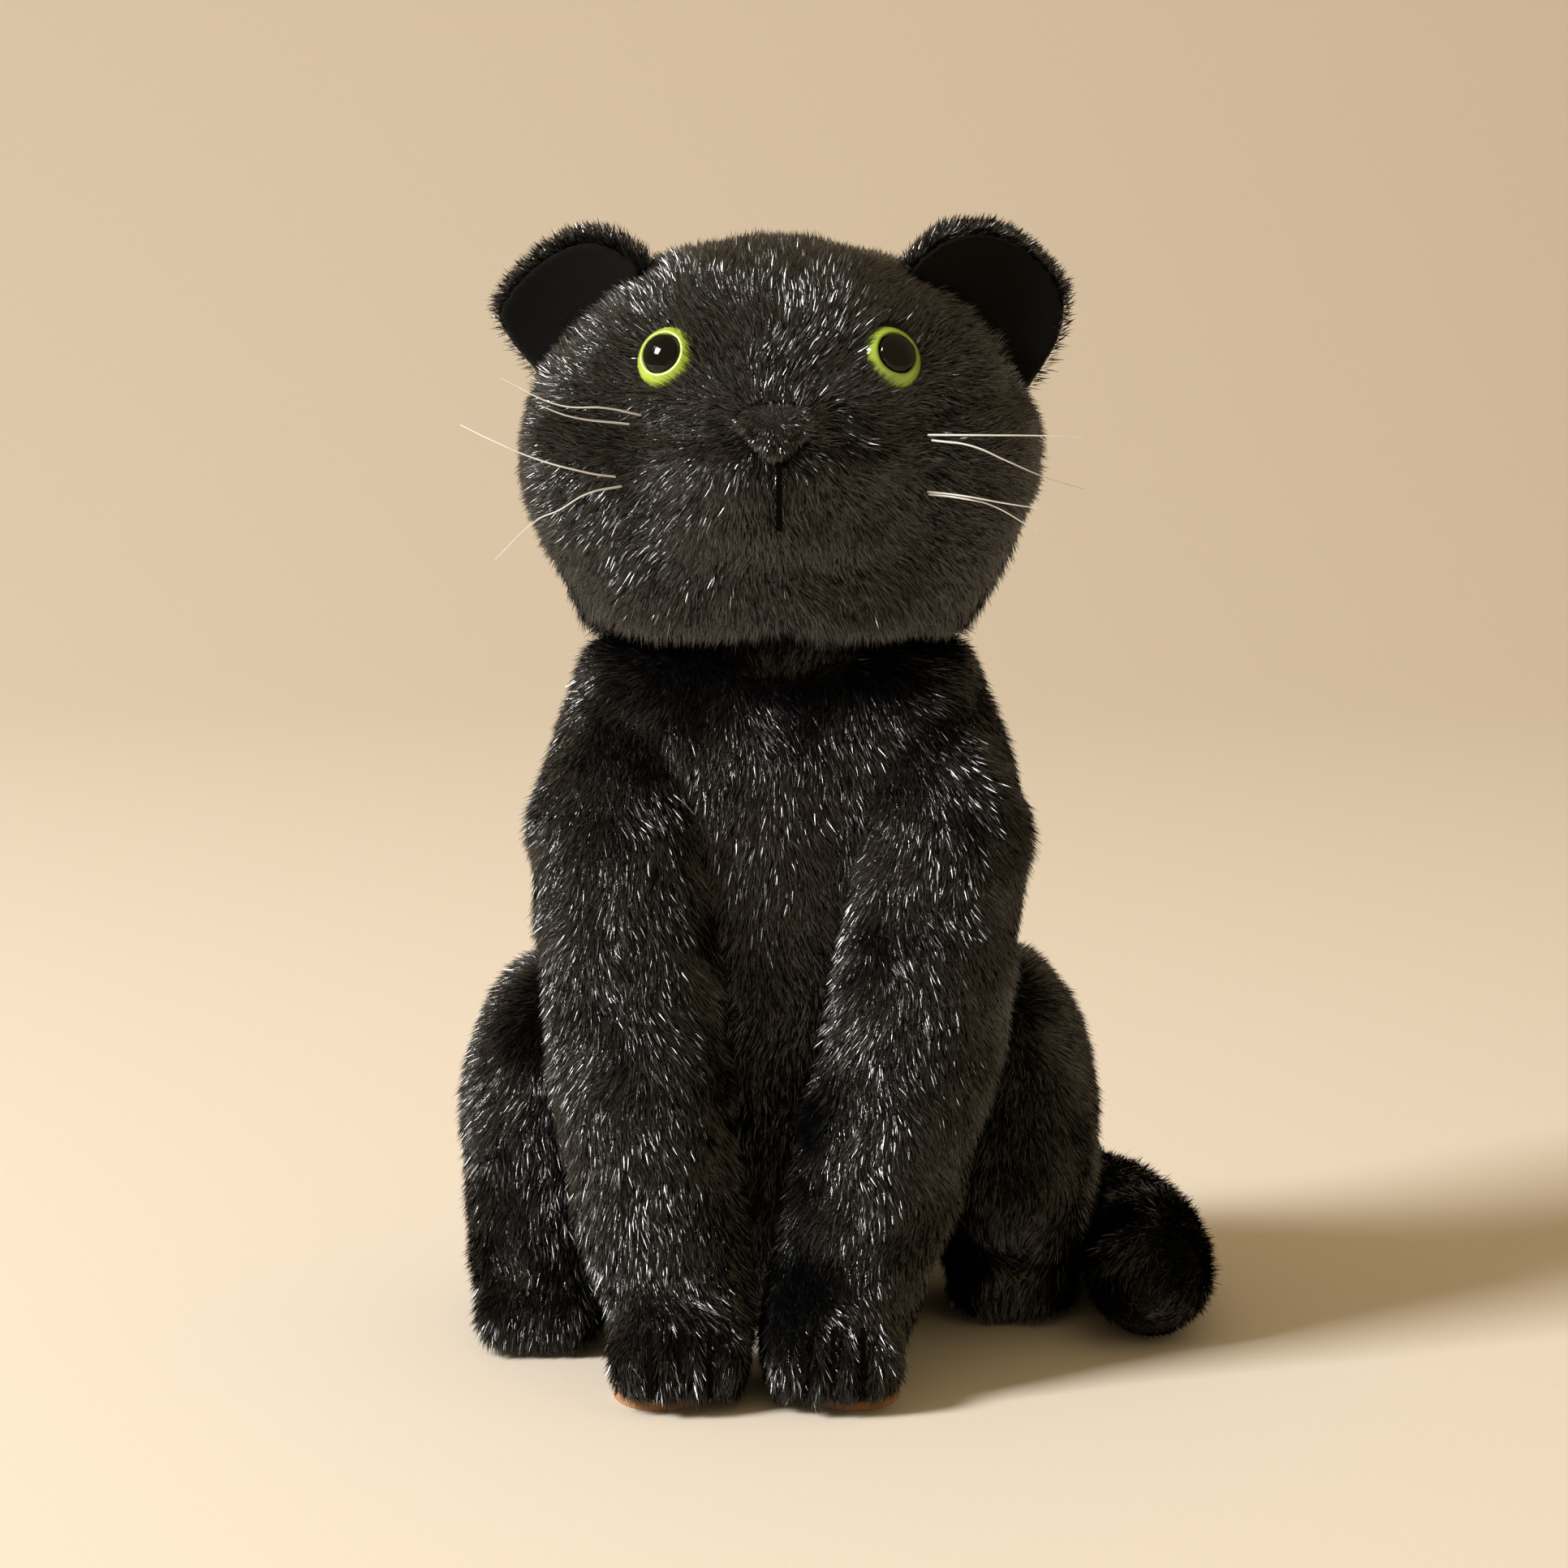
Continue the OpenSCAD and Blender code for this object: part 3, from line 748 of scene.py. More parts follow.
def makeEye(s, word):
    ringLow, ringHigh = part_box("eye_iris_" + word)
    turn = math.radians(eye["turn"] if s == 1 else -180 - eye["turn"])
    aimed = Matrix.Rotation(turn, 4, "Z") @ Matrix.Rotation(math.radians(eye["polar"]), 4, "Y")
    out = aimed.to_3x3() @ Vector((0, 0, 1))
    place = Matrix.Translation((ringLow + ringHigh) / 2 + out * (eye["seat"] - eye["sink"]) * mm) @ aimed
    eyePlaces[word] = place.translation.copy()
    slices, gap = eye["slices"], eye["gap"]
    radii = [eye["ring"] * i / slices for i in range(slices + 1)]
    under, back, hole = eye["under"], eye["back"], eye["pupil"]
    ring = [(r, domeHeight(r) - under) for r in radii if r >= hole] + [(eye["ring"], back), (hole, back)]
    disc = [(r, domeHeight(r) - under) for r in radii if r <= hole] + [(hole - gap, back), (0, back)]
    outer = [(r + eye["lip"], domeHeight(r) + gap) if r else (0, domeHeight(0)) for r in radii]
    inner = [(r, domeHeight(r) - eye["shell"]) for r in reversed(radii)]
    iris = spinProfile("eye_ring_" + word, ring, place, makeEyeGreen("limeEnamelPaintedShade_" + word, place, *eye[word]), True)
    pupil = spinProfile("eye_disc_" + word, disc, place, pupilBlack, False)
    dome = spinProfile("eye_dome_" + word, outer + inner, place, clearDome, False)
    layers = ((iris, "eye_iris_", "eye_green"), (pupil, "eye_pupil_", "eye_black"), (dome, "eye_lens_", "eye_clear"))
    for piece, node, slot in layers:
        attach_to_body(piece, "head")
        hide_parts(node + word)


for word, s in sides:
    makeEye(s, word)

nosePad = {
    "width": 11.0, "lift": 0.4, "voxel": 0.45, "smooth": 4,
    # nostril tucks and the fold between them: x and z from the middle, radius and depth
    "tucks": ((-3.1, -0.3, 1.1, 0.9), (3.1, -0.3, 1.1, 0.9), (0, -1.8, 0.8, 0.5)), "face": -2.3,
}


def makeNose():
    low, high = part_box("nose")
    middle = (low + high) / 2 / mm
    w = nosePad["width"] / 2
    blobs = {
        "left": [(middle.x + w - 2.6, middle.y, middle.z + 1.4), (2.6, 2.3, 2.0)],
        "right": [(middle.x - w + 2.6, middle.y, middle.z + 1.4), (2.6, 2.3, 2.0)],
        "bridge": [(middle.x, middle.y - 0.3, middle.z + 1.7), (3.6, 2.4, 2.0)],
        "tip": [(middle.x, middle.y + 0.1, middle.z - 2.4), (2.0, 2.0, 1.7)],
    }
    piece = {"blobs": blobs, "spans": [("left", "right", "bridge"), ("left", "right", "tip")]}
    pad = makeForm("nose_pad", piece, nosePad["lift"], nosePad["voxel"], nosePad["smooth"])
    points, normals = readPoints(pad.data), readNormals(pad.data)
    for x, z, r, deep in nosePad["tucks"]:
        at = np.array([middle.x + x, middle.y + nosePad["face"], middle.z + z]) * mm
        far = np.linalg.norm(points - at, axis=1) / mm
        points -= normals * (deep * mm * np.exp(-((far / r) ** 2)))[:, None]
    writePoints(pad.data, points)
    smoothShade(pad)
    return pad


def makeFelt(name, dark, light, gap, sheen=0.3, gloss=0.5):
    # pressed felt or short plush: matte, with a fine fibrous grain; gap is between fibres, in mm
    mat, tree, surface = newMaterial(name, {
        "Roughness": 0.9, "IOR": 1.5, "Specular IOR Level": gloss, "Sheen Weight": sheen, "Sheen Roughness": 0.5,
    })
    where = addNode(tree, "ShaderNodeTexCoord")
    fibre = addNode(tree, "ShaderNodeTexNoise", None, {
        "Vector": where.outputs["Object"], "Scale": 1000.0 / gap, "Detail": 4.0, "Roughness": 0.7,
    })
    tint = addNode(tree, "ShaderNodeMix", {"data_type": "RGBA"}, {
        "Factor": fibre.outputs["Fac"], 6: linear(dark), 7: linear(light),
    })
    tree.links.new(tint.outputs[2], surface.inputs["Base Color"])
    bump = addNode(tree, "ShaderNodeBump", None, {
        "Height": fibre.outputs["Fac"], "Distance": 0.0002, "Strength": 0.7,
    })
    tree.links.new(bump.outputs["Normal"], surface.inputs["Normal"])
    return mat


noseFelt = makeFelt("blackNoseFelt", "#0A0808", "#241C1B", 0.5, 0.15)
liningPile = makeFelt("blackShortPile", "#020202", "#0A0807", 0.4, 0.02, 0.15)
soleSuede = makeFelt("tanSoleSuede", "#9C6B43", "#C08A5C", 0.35)
fibrefill = makeFelt("polyesterFibrefill", "#DDDBD4", "#F6F5F0", 1.2)
pouchCloth = makeFelt("calicoPouch", "#CFC8B8", "#E4DED0", 0.5)
stitchThread = makeFelt("blackPolyesterThread", "#020202", "#040404", 0.2, 0.0, 0.05)
labelTape = makeFelt("wovenLabelTape", "#D9D8D4", "#F2F1EE", 0.25)
washerNylon = makeFelt("mouldedNylonWasher", "#E2E1DA", "#ECEBE5", 1.5)
pelletPlastic = makeFelt("polyethylenePellets", "#DCDDE0", "#EDEEF0", 1.5)

skins["nose"] = makeNose()
skins["nose"].data.materials.append(noseFelt)

# each whisker: points from root to tip in mm, then its width at the root
whiskers = {
    "right": [
        [(-21.0, -56.0, 153.6), (-26.3, -60.5, 154.9), (-32.9, -61, 155.3), (-41.9, -59, 159.3)],
        [(-22.8, -55.5, 152.2), (-31.8, -60.5, 153.7), (-36.0, -61, 155.3)],
        [(-25.0, -55.0, 144.2), (-29.1, -60.5, 145.2), (-36.7, -61, 147.3), (-44.1, -59, 150.3), (-48.3, -56, 152.1)],
        [(-24.0, -55.5, 142.8), (-29.4, -60.5, 141.8), (-33.1, -61, 139.6), (-36.5, -59, 138.0), (-43.3, -56, 131.6)],
    ],
    "left": [
        [(22.6, -56.0, 150.6), (31.0, -60.5, 150.8), (40.3, -60.5, 150.7), (45.8, -60, 150.4)],
        [(23.2, -56.0, 149.8), (29.3, -60.5, 149.1), (34.2, -61, 147.0), (39.9, -59, 144.5), (46.3, -56, 142.4)],
        [(22.6, -56.0, 142.0), (28.2, -60.5, 141.6), (34.0, -61.2, 140.6), (39.2, -61, 139.8)],
        [(22.8, -56.0, 141.6), (28.0, -60.2, 141.2), (31.9, -60.5, 140.3), (39.0, -61, 136.3)],
    ],
    "thick": 0.34,
    "taper": 0.55,  # how much thinner at the tip
}


def makeWhiskers(word, mat):
    line = bpy.data.curves.new("whisker_lines_" + word, "CURVE")
    line.dimensions = "3D"
    line.bevel_depth = whiskers["thick"] / 2 * mm
    line.bevel_resolution = 2
    line.use_fill_caps = True
    line.resolution_u = 8
    for path in whiskers[word]:
        spline = line.splines.new("BEZIER")
        spline.bezier_points.add(len(path) - 1)
        for i, (knot, at) in enumerate(zip(spline.bezier_points, path)):
            knot.co = Vector(at) * mm
            knot.handle_left_type = knot.handle_right_type = "AUTO"
            knot.radius = 1.0 - whiskers["taper"] * i / (len(path) - 1)
    drawn = newObject("whisker_lines", line)
    graph = bpy.context.evaluated_depsgraph_get()
    mesh = bpy.data.meshes.new_from_object(drawn.evaluated_get(graph), depsgraph=graph)
    made = newObject("bristles_" + word, mesh)
    bpy.data.objects.remove(drawn)
    made.data.materials.clear()
    made.data.materials.append(mat)
    smoothShade(made)
    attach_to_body(made, "head")
    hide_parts("whiskers_" + word)


def makeNylon():
    # drawn nylon bristle: milky white, glossy along its length, faintly uneven
    mat, tree, surface = newMaterial("drawnNylonBristle", {"Roughness": 0.28, "IOR": 1.53, "Subsurface Weight": 0.2})
    where = addNode(tree, "ShaderNodeTexCoord")
    streak = addNode(tree, "ShaderNodeTexNoise", None, {
        "Vector": where.outputs["Object"], "Scale": 350.0, "Detail": 2.0,
    })
    tint = addNode(tree, "ShaderNodeMix", {"data_type": "RGBA"}, {
        "Factor": streak.outputs["Fac"], 6: linear("#C9C5BC"), 7: linear("#FBFAF6"),
    })
    tree.links.new(tint.outputs[2], surface.inputs["Base Color"])
    return mat


nylon = makeNylon()
for word in ("left", "right"):
    makeWhiskers(word, nylon)
say("face made")


# pile: bent blades scattered over a skin, combed along a flow and coloured hair by hair
pile = {
    "density": 14.2,  # hairs per square mm
    "blade": 0.16,  # width in mm, about twice the real fibre's so that it shows
    "bends": (0.12, 0.22, 0.32, 0.44),
    "stray": 0.22, "twist": 1.1, "whirl": 0.85,
    "shortest": 0.6, "longest": 1.12,  # hair by hair
    "tuftRise": 0.4, "tuftLength": 0.25,  # tuft by tuft
    "floor": 0.12,
}


def makeBlade(name, bend):
    # a kite folded across its middle; two faces, because hundreds of thousands are used
    bm = bmesh.new()
    corners = [(0, 0, 0), (bend * 0.3, 0.5, 0.42), (bend * 0.3, -0.5, 0.42), (bend, 0, 1)]
    root, wideA, wideB, tip = [bm.verts.new(c) for c in corners]
    bm.faces.new((root, wideA, wideB))
    bm.faces.new((wideA, tip, wideB))
    blade = fromBmesh(name, bm)
    smoothShade(blade)
    return blade


bladeSet = bpy.data.collections.new("blades")
for i, bend in enumerate(pile["bends"]):
    blade = makeBlade(f"blade{i}", bend)
    scene.collection.objects.unlink(blade)
    bladeSet.objects.link(blade)


def named(tree, name, kind):
    made = addNode(tree, "GeometryNodeInputNamedAttribute", {"data_type": kind}, {"Name": name})
    return next(o for o in made.outputs if o.enabled and o.name == "Attribute")


def makeScatter(name, seed):
    tree = bpy.data.node_groups.new(name, "GeometryNodeTree")
    tree.interface.new_socket(name="Geometry", in_out="INPUT", socket_type="NodeSocketGeometry")
    tree.interface.new_socket(name="Geometry", in_out="OUTPUT", socket_type="NodeSocketGeometry")
    start, end = addNode(tree, "NodeGroupInput"), addNode(tree, "NodeGroupOutput")
    spread = addNode(tree, "GeometryNodeDistributePointsOnFaces", {"distribute_method": "RANDOM"}, {
        "Mesh": start.outputs[0], "Density": named(tree, "density", "FLOAT"), "Seed": seed,
    })
    # each hair stands along root, strays a little, and leans along comb
    stray = pile["stray"]
    shake = addNode(tree, "FunctionNodeRandomValue", {"data_type": "FLOAT_VECTOR"}, {
        0: (-stray,) * 3, 1: (stray,) * 3, 8: seed + 1,
    })
    heading = addNode(tree, "ShaderNodeVectorMath", {"operation": "ADD"}, {
        0: named(tree, "root", "FLOAT_VECTOR"), 1: shake.outputs[0],
    })
    stand = addNode(tree, "FunctionNodeAlignRotationToVector", {"axis": "Z"}, {"Vector": heading.outputs[0]})
    lean = addNode(tree, "FunctionNodeAlignRotationToVector", {"axis": "X", "pivot_axis": "Z"}, {
        "Rotation": stand.outputs[0], "Vector": named(tree, "comb", "FLOAT_VECTOR"),
    })
    twist = addNode(tree, "FunctionNodeRandomValue", {"data_type": "FLOAT"}, {
        2: -pile["twist"], 3: pile["twist"], 8: seed + 2,
    })
    turn = addNode(tree, "FunctionNodeAxisAngleToRotation", None, {"Axis": (0, 0, 1), "Angle": twist.outputs[1]})
    facing = addNode(tree, "FunctionNodeRotateRotation", {"rotation_space": "LOCAL"}, {
        0: lean.outputs[0], 1: turn.outputs[0],
    })
    vary = addNode(tree, "FunctionNodeRandomValue", {"data_type": "FLOAT"}, {
        2: pile["shortest"], 3: pile["longest"], 8: seed + 3,
    })
    tall = addNode(tree, "ShaderNodeMath", {"operation": "MULTIPLY"}, {
        0: vary.outputs[1], 1: named(tree, "tall", "FLOAT"),
    })
    size = addNode(tree, "ShaderNodeCombineXYZ", None, {
        0: tall.outputs[0], 1: named(tree, "wide", "FLOAT"), 2: tall.outputs[0],
    })
    kinds = addNode(tree, "GeometryNodeCollectionInfo", None, {
        "Collection": bladeSet, "Separate Children": True, "Reset Children": True,
    })
    pick = addNode(tree, "FunctionNodeRandomValue", {"data_type": "INT"}, {
        4: 0, 5: len(pile["bends"]) - 1, 8: seed + 4,
    })
    place = addNode(tree, "GeometryNodeInstanceOnPoints", None, {
        "Points": spread.outputs["Points"], "Instance": kinds.outputs[0], "Pick Instance": True,
        "Instance Index": pick.outputs[2], "Rotation": facing.outputs[0], "Scale": size.outputs[0],
    })
    real = addNode(tree, "GeometryNodeRealizeInstances", None, {0: place.outputs[0]})
    tree.links.new(real.outputs[0], end.inputs[0])
    return tree


def combField(points, normals, flow, seed):
    # a weighted blend of named directions, laid along the skin and stirred a little
    at = np.array([f[0] for f in flow], float) * mm
    way = unit(np.array([f[1] for f in flow], float))
    gap = np.linalg.norm(points[:, None] - at[None], axis=2)
    weight = 1 / (gap + 3 * mm) ** 3
    comb = (weight[:, :, None] * way[None]).sum(1)
    comb -= (comb * normals).sum(1)[:, None] * normals
    comb = unit(comb)
    across = np.cross(normals, comb)
    turn = pile["whirl"] * np.array([
        noise.noise(Vector(p) * 90 + Vector((seed, 0, 0))) + 0.6 * noise.noise(Vector(p) * 260 + Vector((0, seed, 0)))
        for p in points
    ])
    return comb * np.cos(turn)[:, None] + across * np.sin(turn)[:, None]


def setAttribute(mesh, name, kind, values):
    made = mesh.attributes.get(name) or mesh.attributes.new(name, kind, "POINT")
    field = "vector" if kind == "FLOAT_VECTOR" else "value"
    made.data.foreach_set(field, values.astype(np.float32).ravel())


say("ready for pile")

# where brown hairs gather, and where grey hairs gather as painted highlight on the crown and on the cat's right side
# facing the key box: middle and radius in mm, and the share added there
warmSpots = [((0, -60, 138), 20, 0.5), ((0, -48, 86), 24, 0.6), ((-20, -58, 40), 16, 0.15)]
litGreySpots = [
    ((-6, -40, 175), 26, 0.10), ((-30, -50, 150), 20, 0.06), ((-22, -50, 95), 22, 0.05), ((-30, -50, 60), 30, 0.05),
]


def toneShares(roots):
    warm = np.full(len(roots), 0.10)
    grey = np.full(len(roots), 0.035)
    # the grey hairs added in the lit spots are painted highlight; the even shares of grey and brown everywhere are the
    # pile's own mix
    for spots, share in ((warmSpots, warm), (litGreySpots, grey)):
        for middle, radius, most in spots:
            far = np.linalg.norm(roots - np.array(middle) * mm, axis=1)
            share += most * np.exp(-((far / (radius * mm)) ** 2))
    return warm, grey


def growPile(name, skin, body, flow, tall, rise, zone=None, neighbours=(), seed=1, density=1.0, tones=3, bald=()):
    mesh = skin.data
    points, normals = readPoints(mesh), readNormals(mesh)
    comb = combField(points, normals, flow, seed)
    patch = np.array([noise.noise(Vector(p) * 110 + Vector((0, 0, seed))) for p in points])
    angle = rise + pile["tuftRise"] * patch
    length = np.full(len(points), tall * mm) * (1 + pile["tuftLength"] * patch)
    if body == "head":  # the head's lower edge hangs over the neck
        length *= 1 + 0.4 * softStep((127 * mm - points[:, 2]) / (6 * mm))
    amount = np.full(len(points), pile["density"] * 1e6 * density)
    for other in neighbours:
        tree = treeOf(other)
        for i, p in enumerate(points):
            found = tree.find_nearest(Vector(p), 6 * mm)
            if found[0] is not None:
                if (Vector(p) - found[0]).dot(found[1]) < -0.4 * mm:  # hidden inside the next piece
                    amount[i] *= 0.12
                    length[i] *= 0.5
    # underneath, the pile is pressed flat and outwards by the floor
    under = softStep((-normals[:, 2] - 0.3) * 2) * softStep((6 * mm - points[:, 2]) / (4 * mm))
    outward = points - points.mean(0)
    outward[:, 2] = 0
    outward = unit(outward)
    comb = unit(comb * (1 - under)[:, None] + outward * under[:, None])
    angle = angle * (1 - under)
    length *= 1 - 0.5 * under
    amount *= 1 - 0.6 * under
    for middle, radius in bald:
        amount *= np.linalg.norm(points - np.array(middle), axis=1) > radius * mm
    if zone is not None:
        amount *= zone(points)
    # away from the face side there are fewer hairs, each drawn wider
    fine = 0.42 + 0.58 * softStep(0.55 - normals[:, 1] * 0.9)
    amount *= fine
    setAttribute(mesh, "wide", "FLOAT", pile["blade"] * mm / fine**0.8)
    root = unit(normals * np.sin(angle)[:, None] + comb * np.cos(angle)[:, None])
    setAttribute(mesh, "comb", "FLOAT_VECTOR", comb)
    setAttribute(mesh, "root", "FLOAT_VECTOR", root)
    setAttribute(mesh, "tall", "FLOAT", length)
    setAttribute(mesh, "density", "FLOAT", amount)
    scatter = skin.modifiers.new("pile", "NODES")
    scatter.node_group = makeScatter("pile_" + name, seed * 10)
    graph = bpy.context.evaluated_depsgraph_get()
    grown = bpy.data.meshes.new_from_object(skin.evaluated_get(graph), depsgraph=graph)
    skin.modifiers.clear()
    hair = newObject("pile_" + name, grown)
    ends = readPoints(grown)
    ends[:, 2] = np.maximum(ends[:, 2], pile["floor"] * mm)
    writePoints(grown, ends)
    # two faces and four points make a hair
    count = len(grown.polygons) // 2
    roots = ends[::4][:count]
    warm, grey = toneShares(roots)
    rng = np.random.default_rng(seed)
    dice = rng.random(count)
    tone = np.where(dice < grey, 3, np.where(dice < grey + warm, 2, np.where(dice < grey + warm + 0.3, 1, 0)))
    tone = np.where(tone > tones, 0, tone)
    grown.materials.clear()
    for mat in pileTones:
        grown.materials.append(mat)
    grown.polygons.foreach_set("material_index", np.repeat(tone, 2).astype(np.int32))
    smoothShade(hair)
    hair["body"] = body
    say(f"pile_{name}: {count} hairs")
    return hair


# combing: each flow is a list of (place in mm, direction)
def headFlow():
    nose = Vector((-0.5, -64, 153))
    spots = [
        (0, -50, 176), (-20, -50, 174), (20, -50, 174), (0, -30, 181), (-34, -38, 160), (34, -38, 160),
        (-40, -36, 148), (40, -36, 148), (-30, -52, 148), (30, -52, 148), (-28, -50, 136), (28, -50, 136),
        (0, -62, 138), (-12, -62, 140), (12, -62, 140), (-18, -60, 150), (18, -60, 150), (0, -60, 164),
        (-12, -58, 162), (12, -58, 162),
    ]
    around = []
    for at in spots:
        way = Vector(at) - nose
        around.append((at, tuple(way.normalized() + Vector((0, 0, -0.25 if at[2] < 156 else 0.1)))))
    back = [
        ((0, 1, 160), (0, 0.1, -1)), ((-25, -10, 150), (-0.2, 0.3, -1)), ((25, -10, 150), (0.2, 0.3, -1)),
        ((0, -2, 135), (0, 0.1, -1)), ((0, -12, 178), (0, 1, -0.3)), ((0, -30, 121), (0, 0, -1)),
    ]
    rim = ((-30, -36), (-15, -52), (0, -54), (15, -52), (30, -36))
    down = [((x, y, 122), (0.2 * x / 30, -0.1, -1)) for x, y in rim]
    return around + back + down


def legFlow(s):
    x = pawX[s]
    return [
        ((s * 30, -45, 95), (0.15 * s, 0, -1)), ((s * 24, -58, 60), (0.1 * s, -0.1, -1)),
        ((s * 34, -42, 55), (0, 0.1, -1)), ((s * 16, -62, 30), (-0.1 * s, -0.1, -1)),
        ((x, -66, 18), (0, -0.8, -0.8)), ((x, -69, 8), (0, -0.5, -1)), ((x - 10, -55, 10), (-0.3, -0.6, -0.7)),
        ((x + 10, -55, 10), (0.3, -0.6, -0.7)), ((x, -56, 1), (0, -1, 0)), ((s * 14, -34, 30), (0, 0.1, -1)),
    ]


def hindFlow(s):
    y = footY[s]
    return [
        ((s * 50, -2, 50), (0.1 * s, 0.1, -1)), ((s * 52, -10, 25), (0, -0.3, -1)),
        ((s * 40, -2, 62), (0.6 * s, 0.3, -0.4)), ((s * 40, -28, 35), (0.1 * s, -0.3, -1)),
        ((s * 40, 24, 30), (0, 0.4, -1)), ((s * 39, y - 9, 12), (0, -1, -0.6)),
        ((s * 39, y - 11, 5), (0, -0.6, -1)), ((s * 39, y, 0), (0, -1, 0)),
    ]


def tailFlow():
    ring = list(softPieces["tail"]["blobs"].values())
    flow = []
    for (a, _), (b, _) in zip(ring, ring[1:]):
        flow.append((a, tuple((Vector(b) - Vector(a)).normalized())))
    flow.append((ring[-1][0], flow[-1][1]))
    return flow


def earFlow(place):
    spots = [(x, z) for x in (-10, 0, 10) for z in (2, 9, 16)]
    return [
        (tuple(place @ Vector((x * mm, 0, z * mm)) / mm), tuple(place.to_3x3() @ Vector((x / 14, 0.4, 1))))
        for x, z in spots
    ]


torsoFlow = [
    ((0, -45, 100), (0, -0.1, -1)), ((0, -40, 60), (0, 0, -1)), ((-33, -25, 100), (-0.1, -0.1, -1)),
    ((33, -25, 100), (0.1, -0.1, -1)), ((0, 5, 100), (0, 0.3, -1)), ((0, 28, 50), (0, 0.2, -1)),
    ((0, 0, 2), (0, 1, 0)), ((-12, -45, 108), (-0.25, 0, -1)), ((12, -45, 108), (0.25, 0, -1)),
    ((0, -28, 116), (0, -1, -0.4)),
]
neckFlow = [((0, -50, 118), (0, -0.2, -1)), ((0, -8, 118), (0, 0.2, -1))]
noseFlow = [
    ((0, -66, 158), (0, -0.2, 1)), ((0, -66, 148), (0, -0.2, -1)), ((-6, -64, 153), (-1, 0, 0)),
    ((6, -64, 153), (1, 0, 0)),
]

hairs = {}
bodyOf = {"nose": "head", "lining_left": "ear_left", "lining_right": "ear_right"}  # the rest ride on their namesakes
limbSkins = [skins[n] for n in ("foreleg_left", "foreleg_right", "hind_leg_left", "hind_leg_right", "tail")]
# the big skins' piles are split here, in mm, so that no piece gets too many faces
cut = {"chest": -24, "seat": 58, "face": -36, "chin": 146}


def within(front=-999, back=999, low=-999, high=999):
    def zone(points):
        y, z = points[:, 1], points[:, 2]
        return ((y >= front * mm) & (y < back * mm) & (z >= low * mm) & (z < high * mm)).astype(float)
    return zone


def backSide(place, tall):
    # pile only behind the ear, and less of it at the inner edge
    def zone(points):
        inverse = place.inverted()
        local = np.array([inverse @ Vector(p) for p in points]) / mm
        deep = np.sqrt(local[:, 0] ** 2 + (local[:, 1] + ear["cup"]) ** 2 + (local[:, 2] - tall / 2) ** 2)
        crisp = 1 - 0.8 * softStep((local[:, 0] - 7) / 4)
        return (deep > ear["cup"] + 1.0) * crisp
    return zone


def grow(name, skin, flow, tall, rise, **extra):
    # tall is the pile's length in mm, and rise its angle from the skin in radians
    hairs[name] = growPile(name, skins[skin], bodyOf.get(skin, skin), flow, tall, rise, **extra)


grow("torso_front", "torso", torsoFlow, 3.5, 0.66, zone=within(back=cut["chest"]), neighbours=limbSkins, seed=11)
rear = {"front": cut["chest"]}
grow("torso_back", "torso", torsoFlow, 3.7, 0.66, zone=within(low=cut["seat"], **rear), neighbours=limbSkins, seed=12)
grow("torso_seat", "torso", torsoFlow, 3.7, 0.66, zone=within(high=cut["seat"], **rear), neighbours=limbSkins, seed=13)
# the pile is clipped around each eye, but still hangs over its nose side
eyesBare = [
    (eyePlaces["left"] + Vector((0.4, 0, 1.5)) * mm, 4.6),
    (eyePlaces["right"] + Vector((-1.8, 0, 0.4)) * mm, 4.6),
]
flow = headFlow()
grow("head_face", "head", flow, 2.9, 0.66, zone=within(back=cut["face"], low=cut["chin"]), seed=21, bald=eyesBare)
grow("head_chin", "head", flow, 3.1, 0.66, zone=within(back=cut["face"], high=cut["chin"]), seed=22)
grow("head_back", "head", flow, 3.4, 0.66, zone=within(front=cut["face"]), seed=23, density=0.85)
grow("neck", "neck", neckFlow, 2.8, 0.7, seed=31, density=0.7)
for word, s in sides:
    leg, hind, top = "foreleg_" + word, "hind_leg_" + word, "ear_" + word
    grow(leg, leg, legFlow(s), 3.3, 0.64, neighbours=[skins["torso"]], seed=41 + s)
    grow(hind, hind, hindFlow(s), 3.7, 0.68, neighbours=[skins["torso"]], seed=51 + s)
    place = earMatrix(s)
    grow(top, top, earFlow(place), 2.6, 0.75, zone=backSide(place, ear[word]["height"]), seed=61 + s)
grow("nose", "nose", noseFlow, 1.0, 0.9, seed=91, density=1.2, tones=2)
grow("tail", "tail", tailFlow(), 4.2, 0.6, neighbours=[skins["torso"]], seed=81)
total = sum(len(h.data.polygons) for h in hairs.values())
say(f"{total} pile faces in all")


# a tan patch under each forepaw that peeps out at its outer side, in mm
soleForm = {"half": (7.4, 9.2, 1.3), "bevel": 0.25, "out": 3.4, "y": -55.5, "z": 0.7}


def makeSole(word, s):
    bm = bmesh.new()
    bmesh.ops.create_cone(bm, cap_ends=True, segments=48, radius1=1, radius2=0.93, depth=1)
    rim = [e for e in bm.edges if abs(e.verts[0].co.z - e.verts[1].co.z) < 0.01]
    bmesh.ops.scale(bm, vec=[half * mm for half in soleForm["half"]], verts=bm.verts)
    bmesh.ops.bevel(
        bm, geom=rim, offset=soleForm["bevel"] * mm, segments=2, profile=0.5, material=-1, affect="EDGES",
    )
    place = ((pawX[s] + s * soleForm["out"]) * mm, soleForm["y"] * mm, soleForm["z"] * mm)
    bmesh.ops.translate(bm, vec=place, verts=bm.verts)
    bmesh.ops.recalc_face_normals(bm, faces=bm.faces)
    sole = fromBmesh("sole_" + word, bm)
    smoothShade(sole)
    sole.data.materials.append(soleSuede)
    return sole


filling = {"voxel": 1.8, "inside": 0.9}  # mm

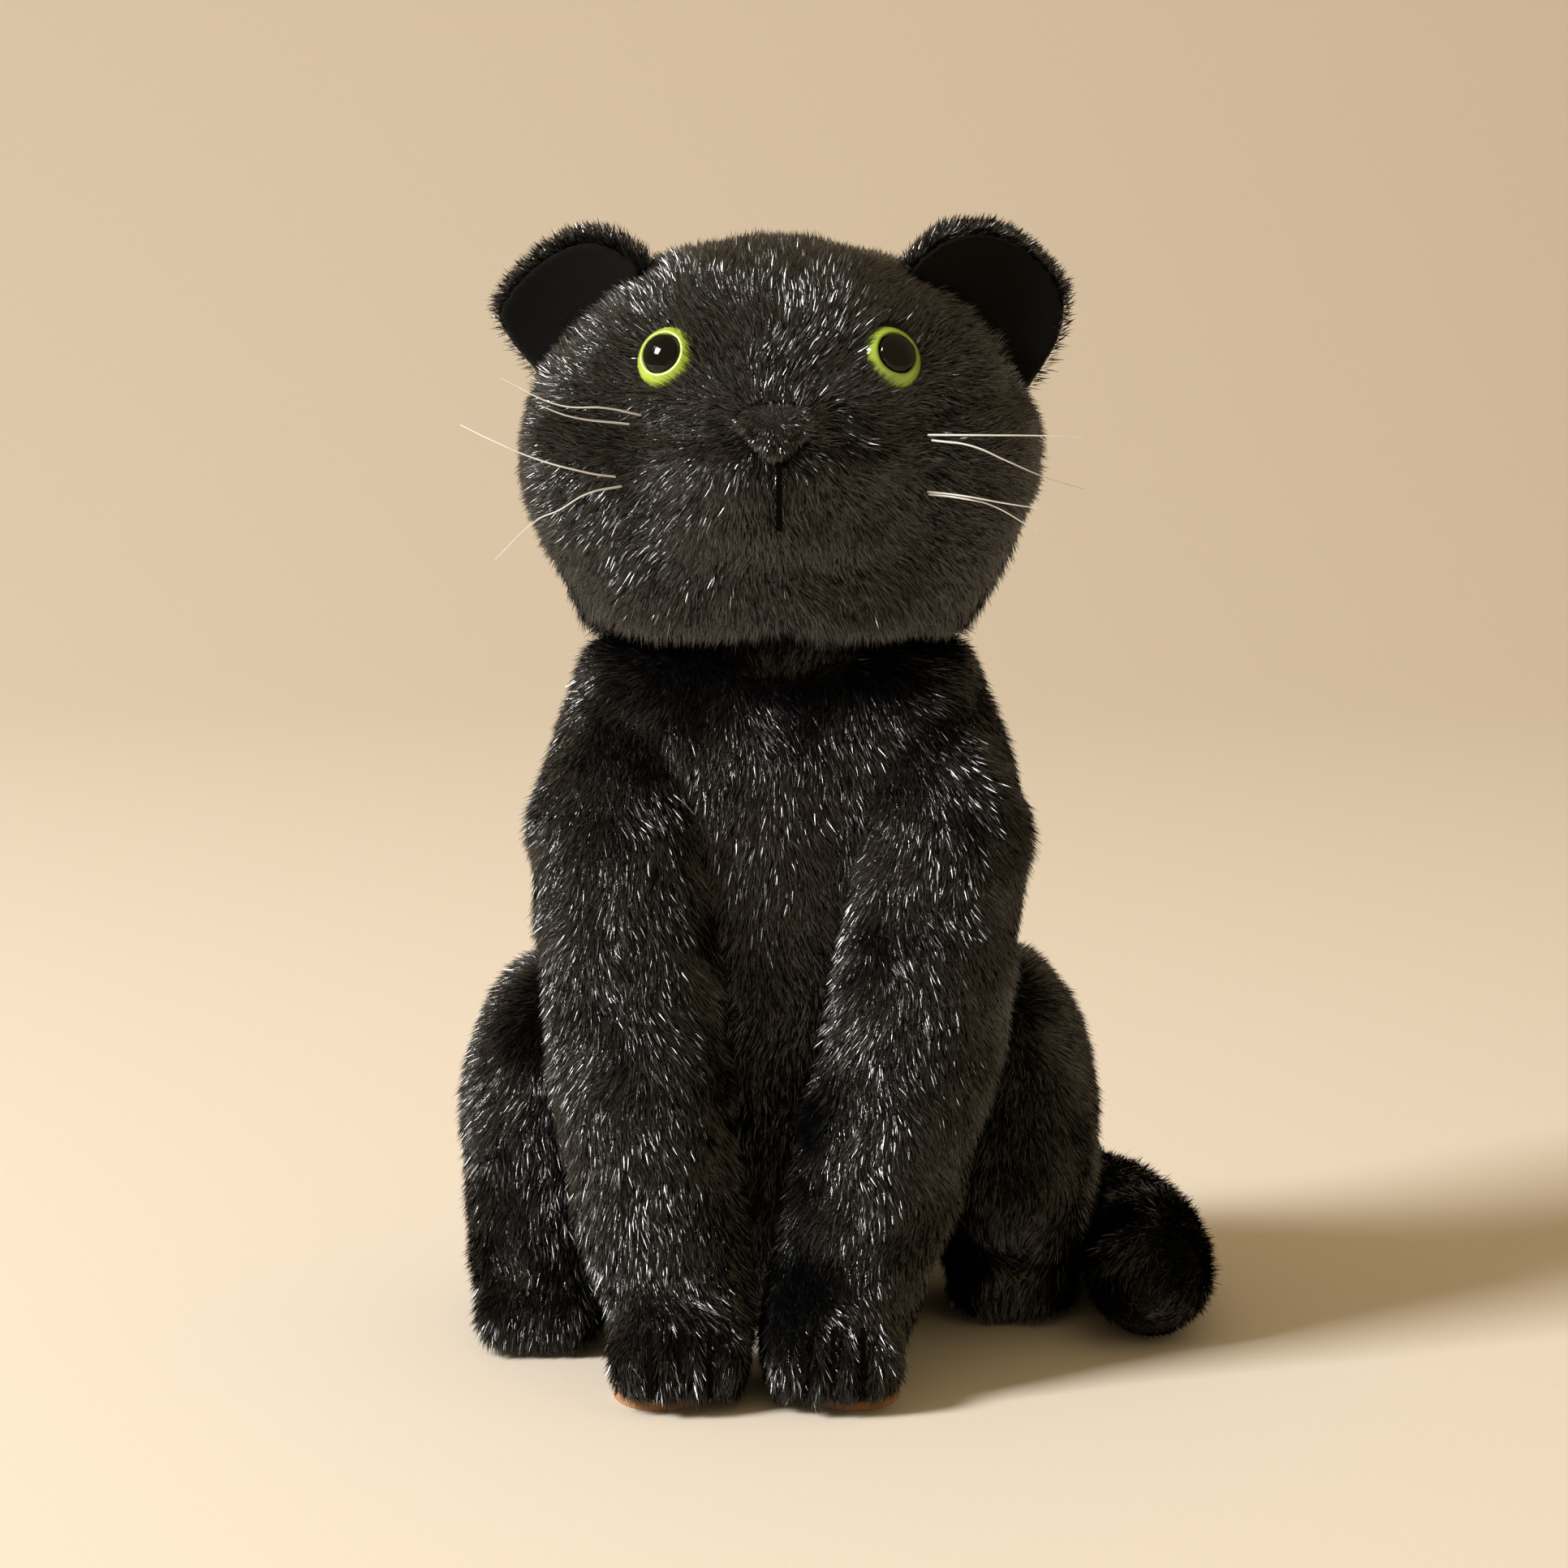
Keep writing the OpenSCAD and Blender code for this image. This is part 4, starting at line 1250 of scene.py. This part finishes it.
def makeFilling(node, skin):
    # the filling follows its skin's creases, and stays a little inside it
    bm = bmesh.new()
    bm.from_mesh(frame["nodes"][node].data)
    bmesh.ops.remove_doubles(bm, verts=bm.verts, dist=1e-6)
    fill = fromBmesh("fill_" + node, bm)
    reskin(fill, filling["voxel"])
    points = readPoints(fill.data)
    tree = treeOf(skin)
    for i, p in enumerate(points):
        at, normal, _, _ = tree.find_nearest(Vector(p))
        depth = (at - Vector(p)).dot(normal)
        if depth < filling["inside"] * mm:
            points[i] = at - normal * filling["inside"] * mm
    writePoints(fill.data, points)
    smoothShade(fill)
    fill.data.materials.clear()
    fill.data.materials.append(fibrefill)
    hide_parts(node)
    return fill



# each piece joins its body
def attach(obj, body):
    # a foreleg's top is one with the torso's fabric, so its placement is baked into its mesh and it is left unattached,
    # instead of turning with the foreleg as a whole
    if body.startswith("foreleg_"):
        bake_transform(obj)
    else:
        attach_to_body(obj, body)


def nodeOf(name, part):
    # head_skin, but foreleg_skin_left
    return name.replace("leg_", f"leg_{part}_") if "leg_" in name else f"{name}_{part}"


for word, s in sides:
    skins["lining_" + word].data.materials.clear()
    skins["lining_" + word].data.materials.append(liningPile)
for name, skin in skins.items():
    attach(skin, bodyOf.get(name, name))
for name, hair in hairs.items():
    attach(hair, hair["body"])
for word, s in sides:
    sole = makeSole(word, s)
    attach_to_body(sole, "foreleg_" + word)
    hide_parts("paw_pad_" + word)
for name in softPieces:
    attach(makeFilling(nodeOf(name, "stuffing"), skins[name]), name)
for name in softPieces:
    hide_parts(nodeOf(name, "skin"))
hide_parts("neck_stuffing")
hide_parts("nose")
for word, s in sides:
    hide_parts("ear_back_" + word)
    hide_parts("ear_lining_" + word)

# the neck ball and the blades were only tools
bpy.data.objects.remove(neckBall)
for blade in list(bladeSet.objects):
    bpy.data.objects.remove(blade)

# what stays from the CAD gets its own material
finishes = {
    "pouch": pouchCloth, "pellets": pelletPlastic, "thread": stitchThread, "label": labelTape, "washer": washerNylon,
}
for name, node in frame["nodes"].items():
    for word, mat in finishes.items():
        if word in name:
            node.data.materials.clear()
            node.data.materials.append(mat)

low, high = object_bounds()
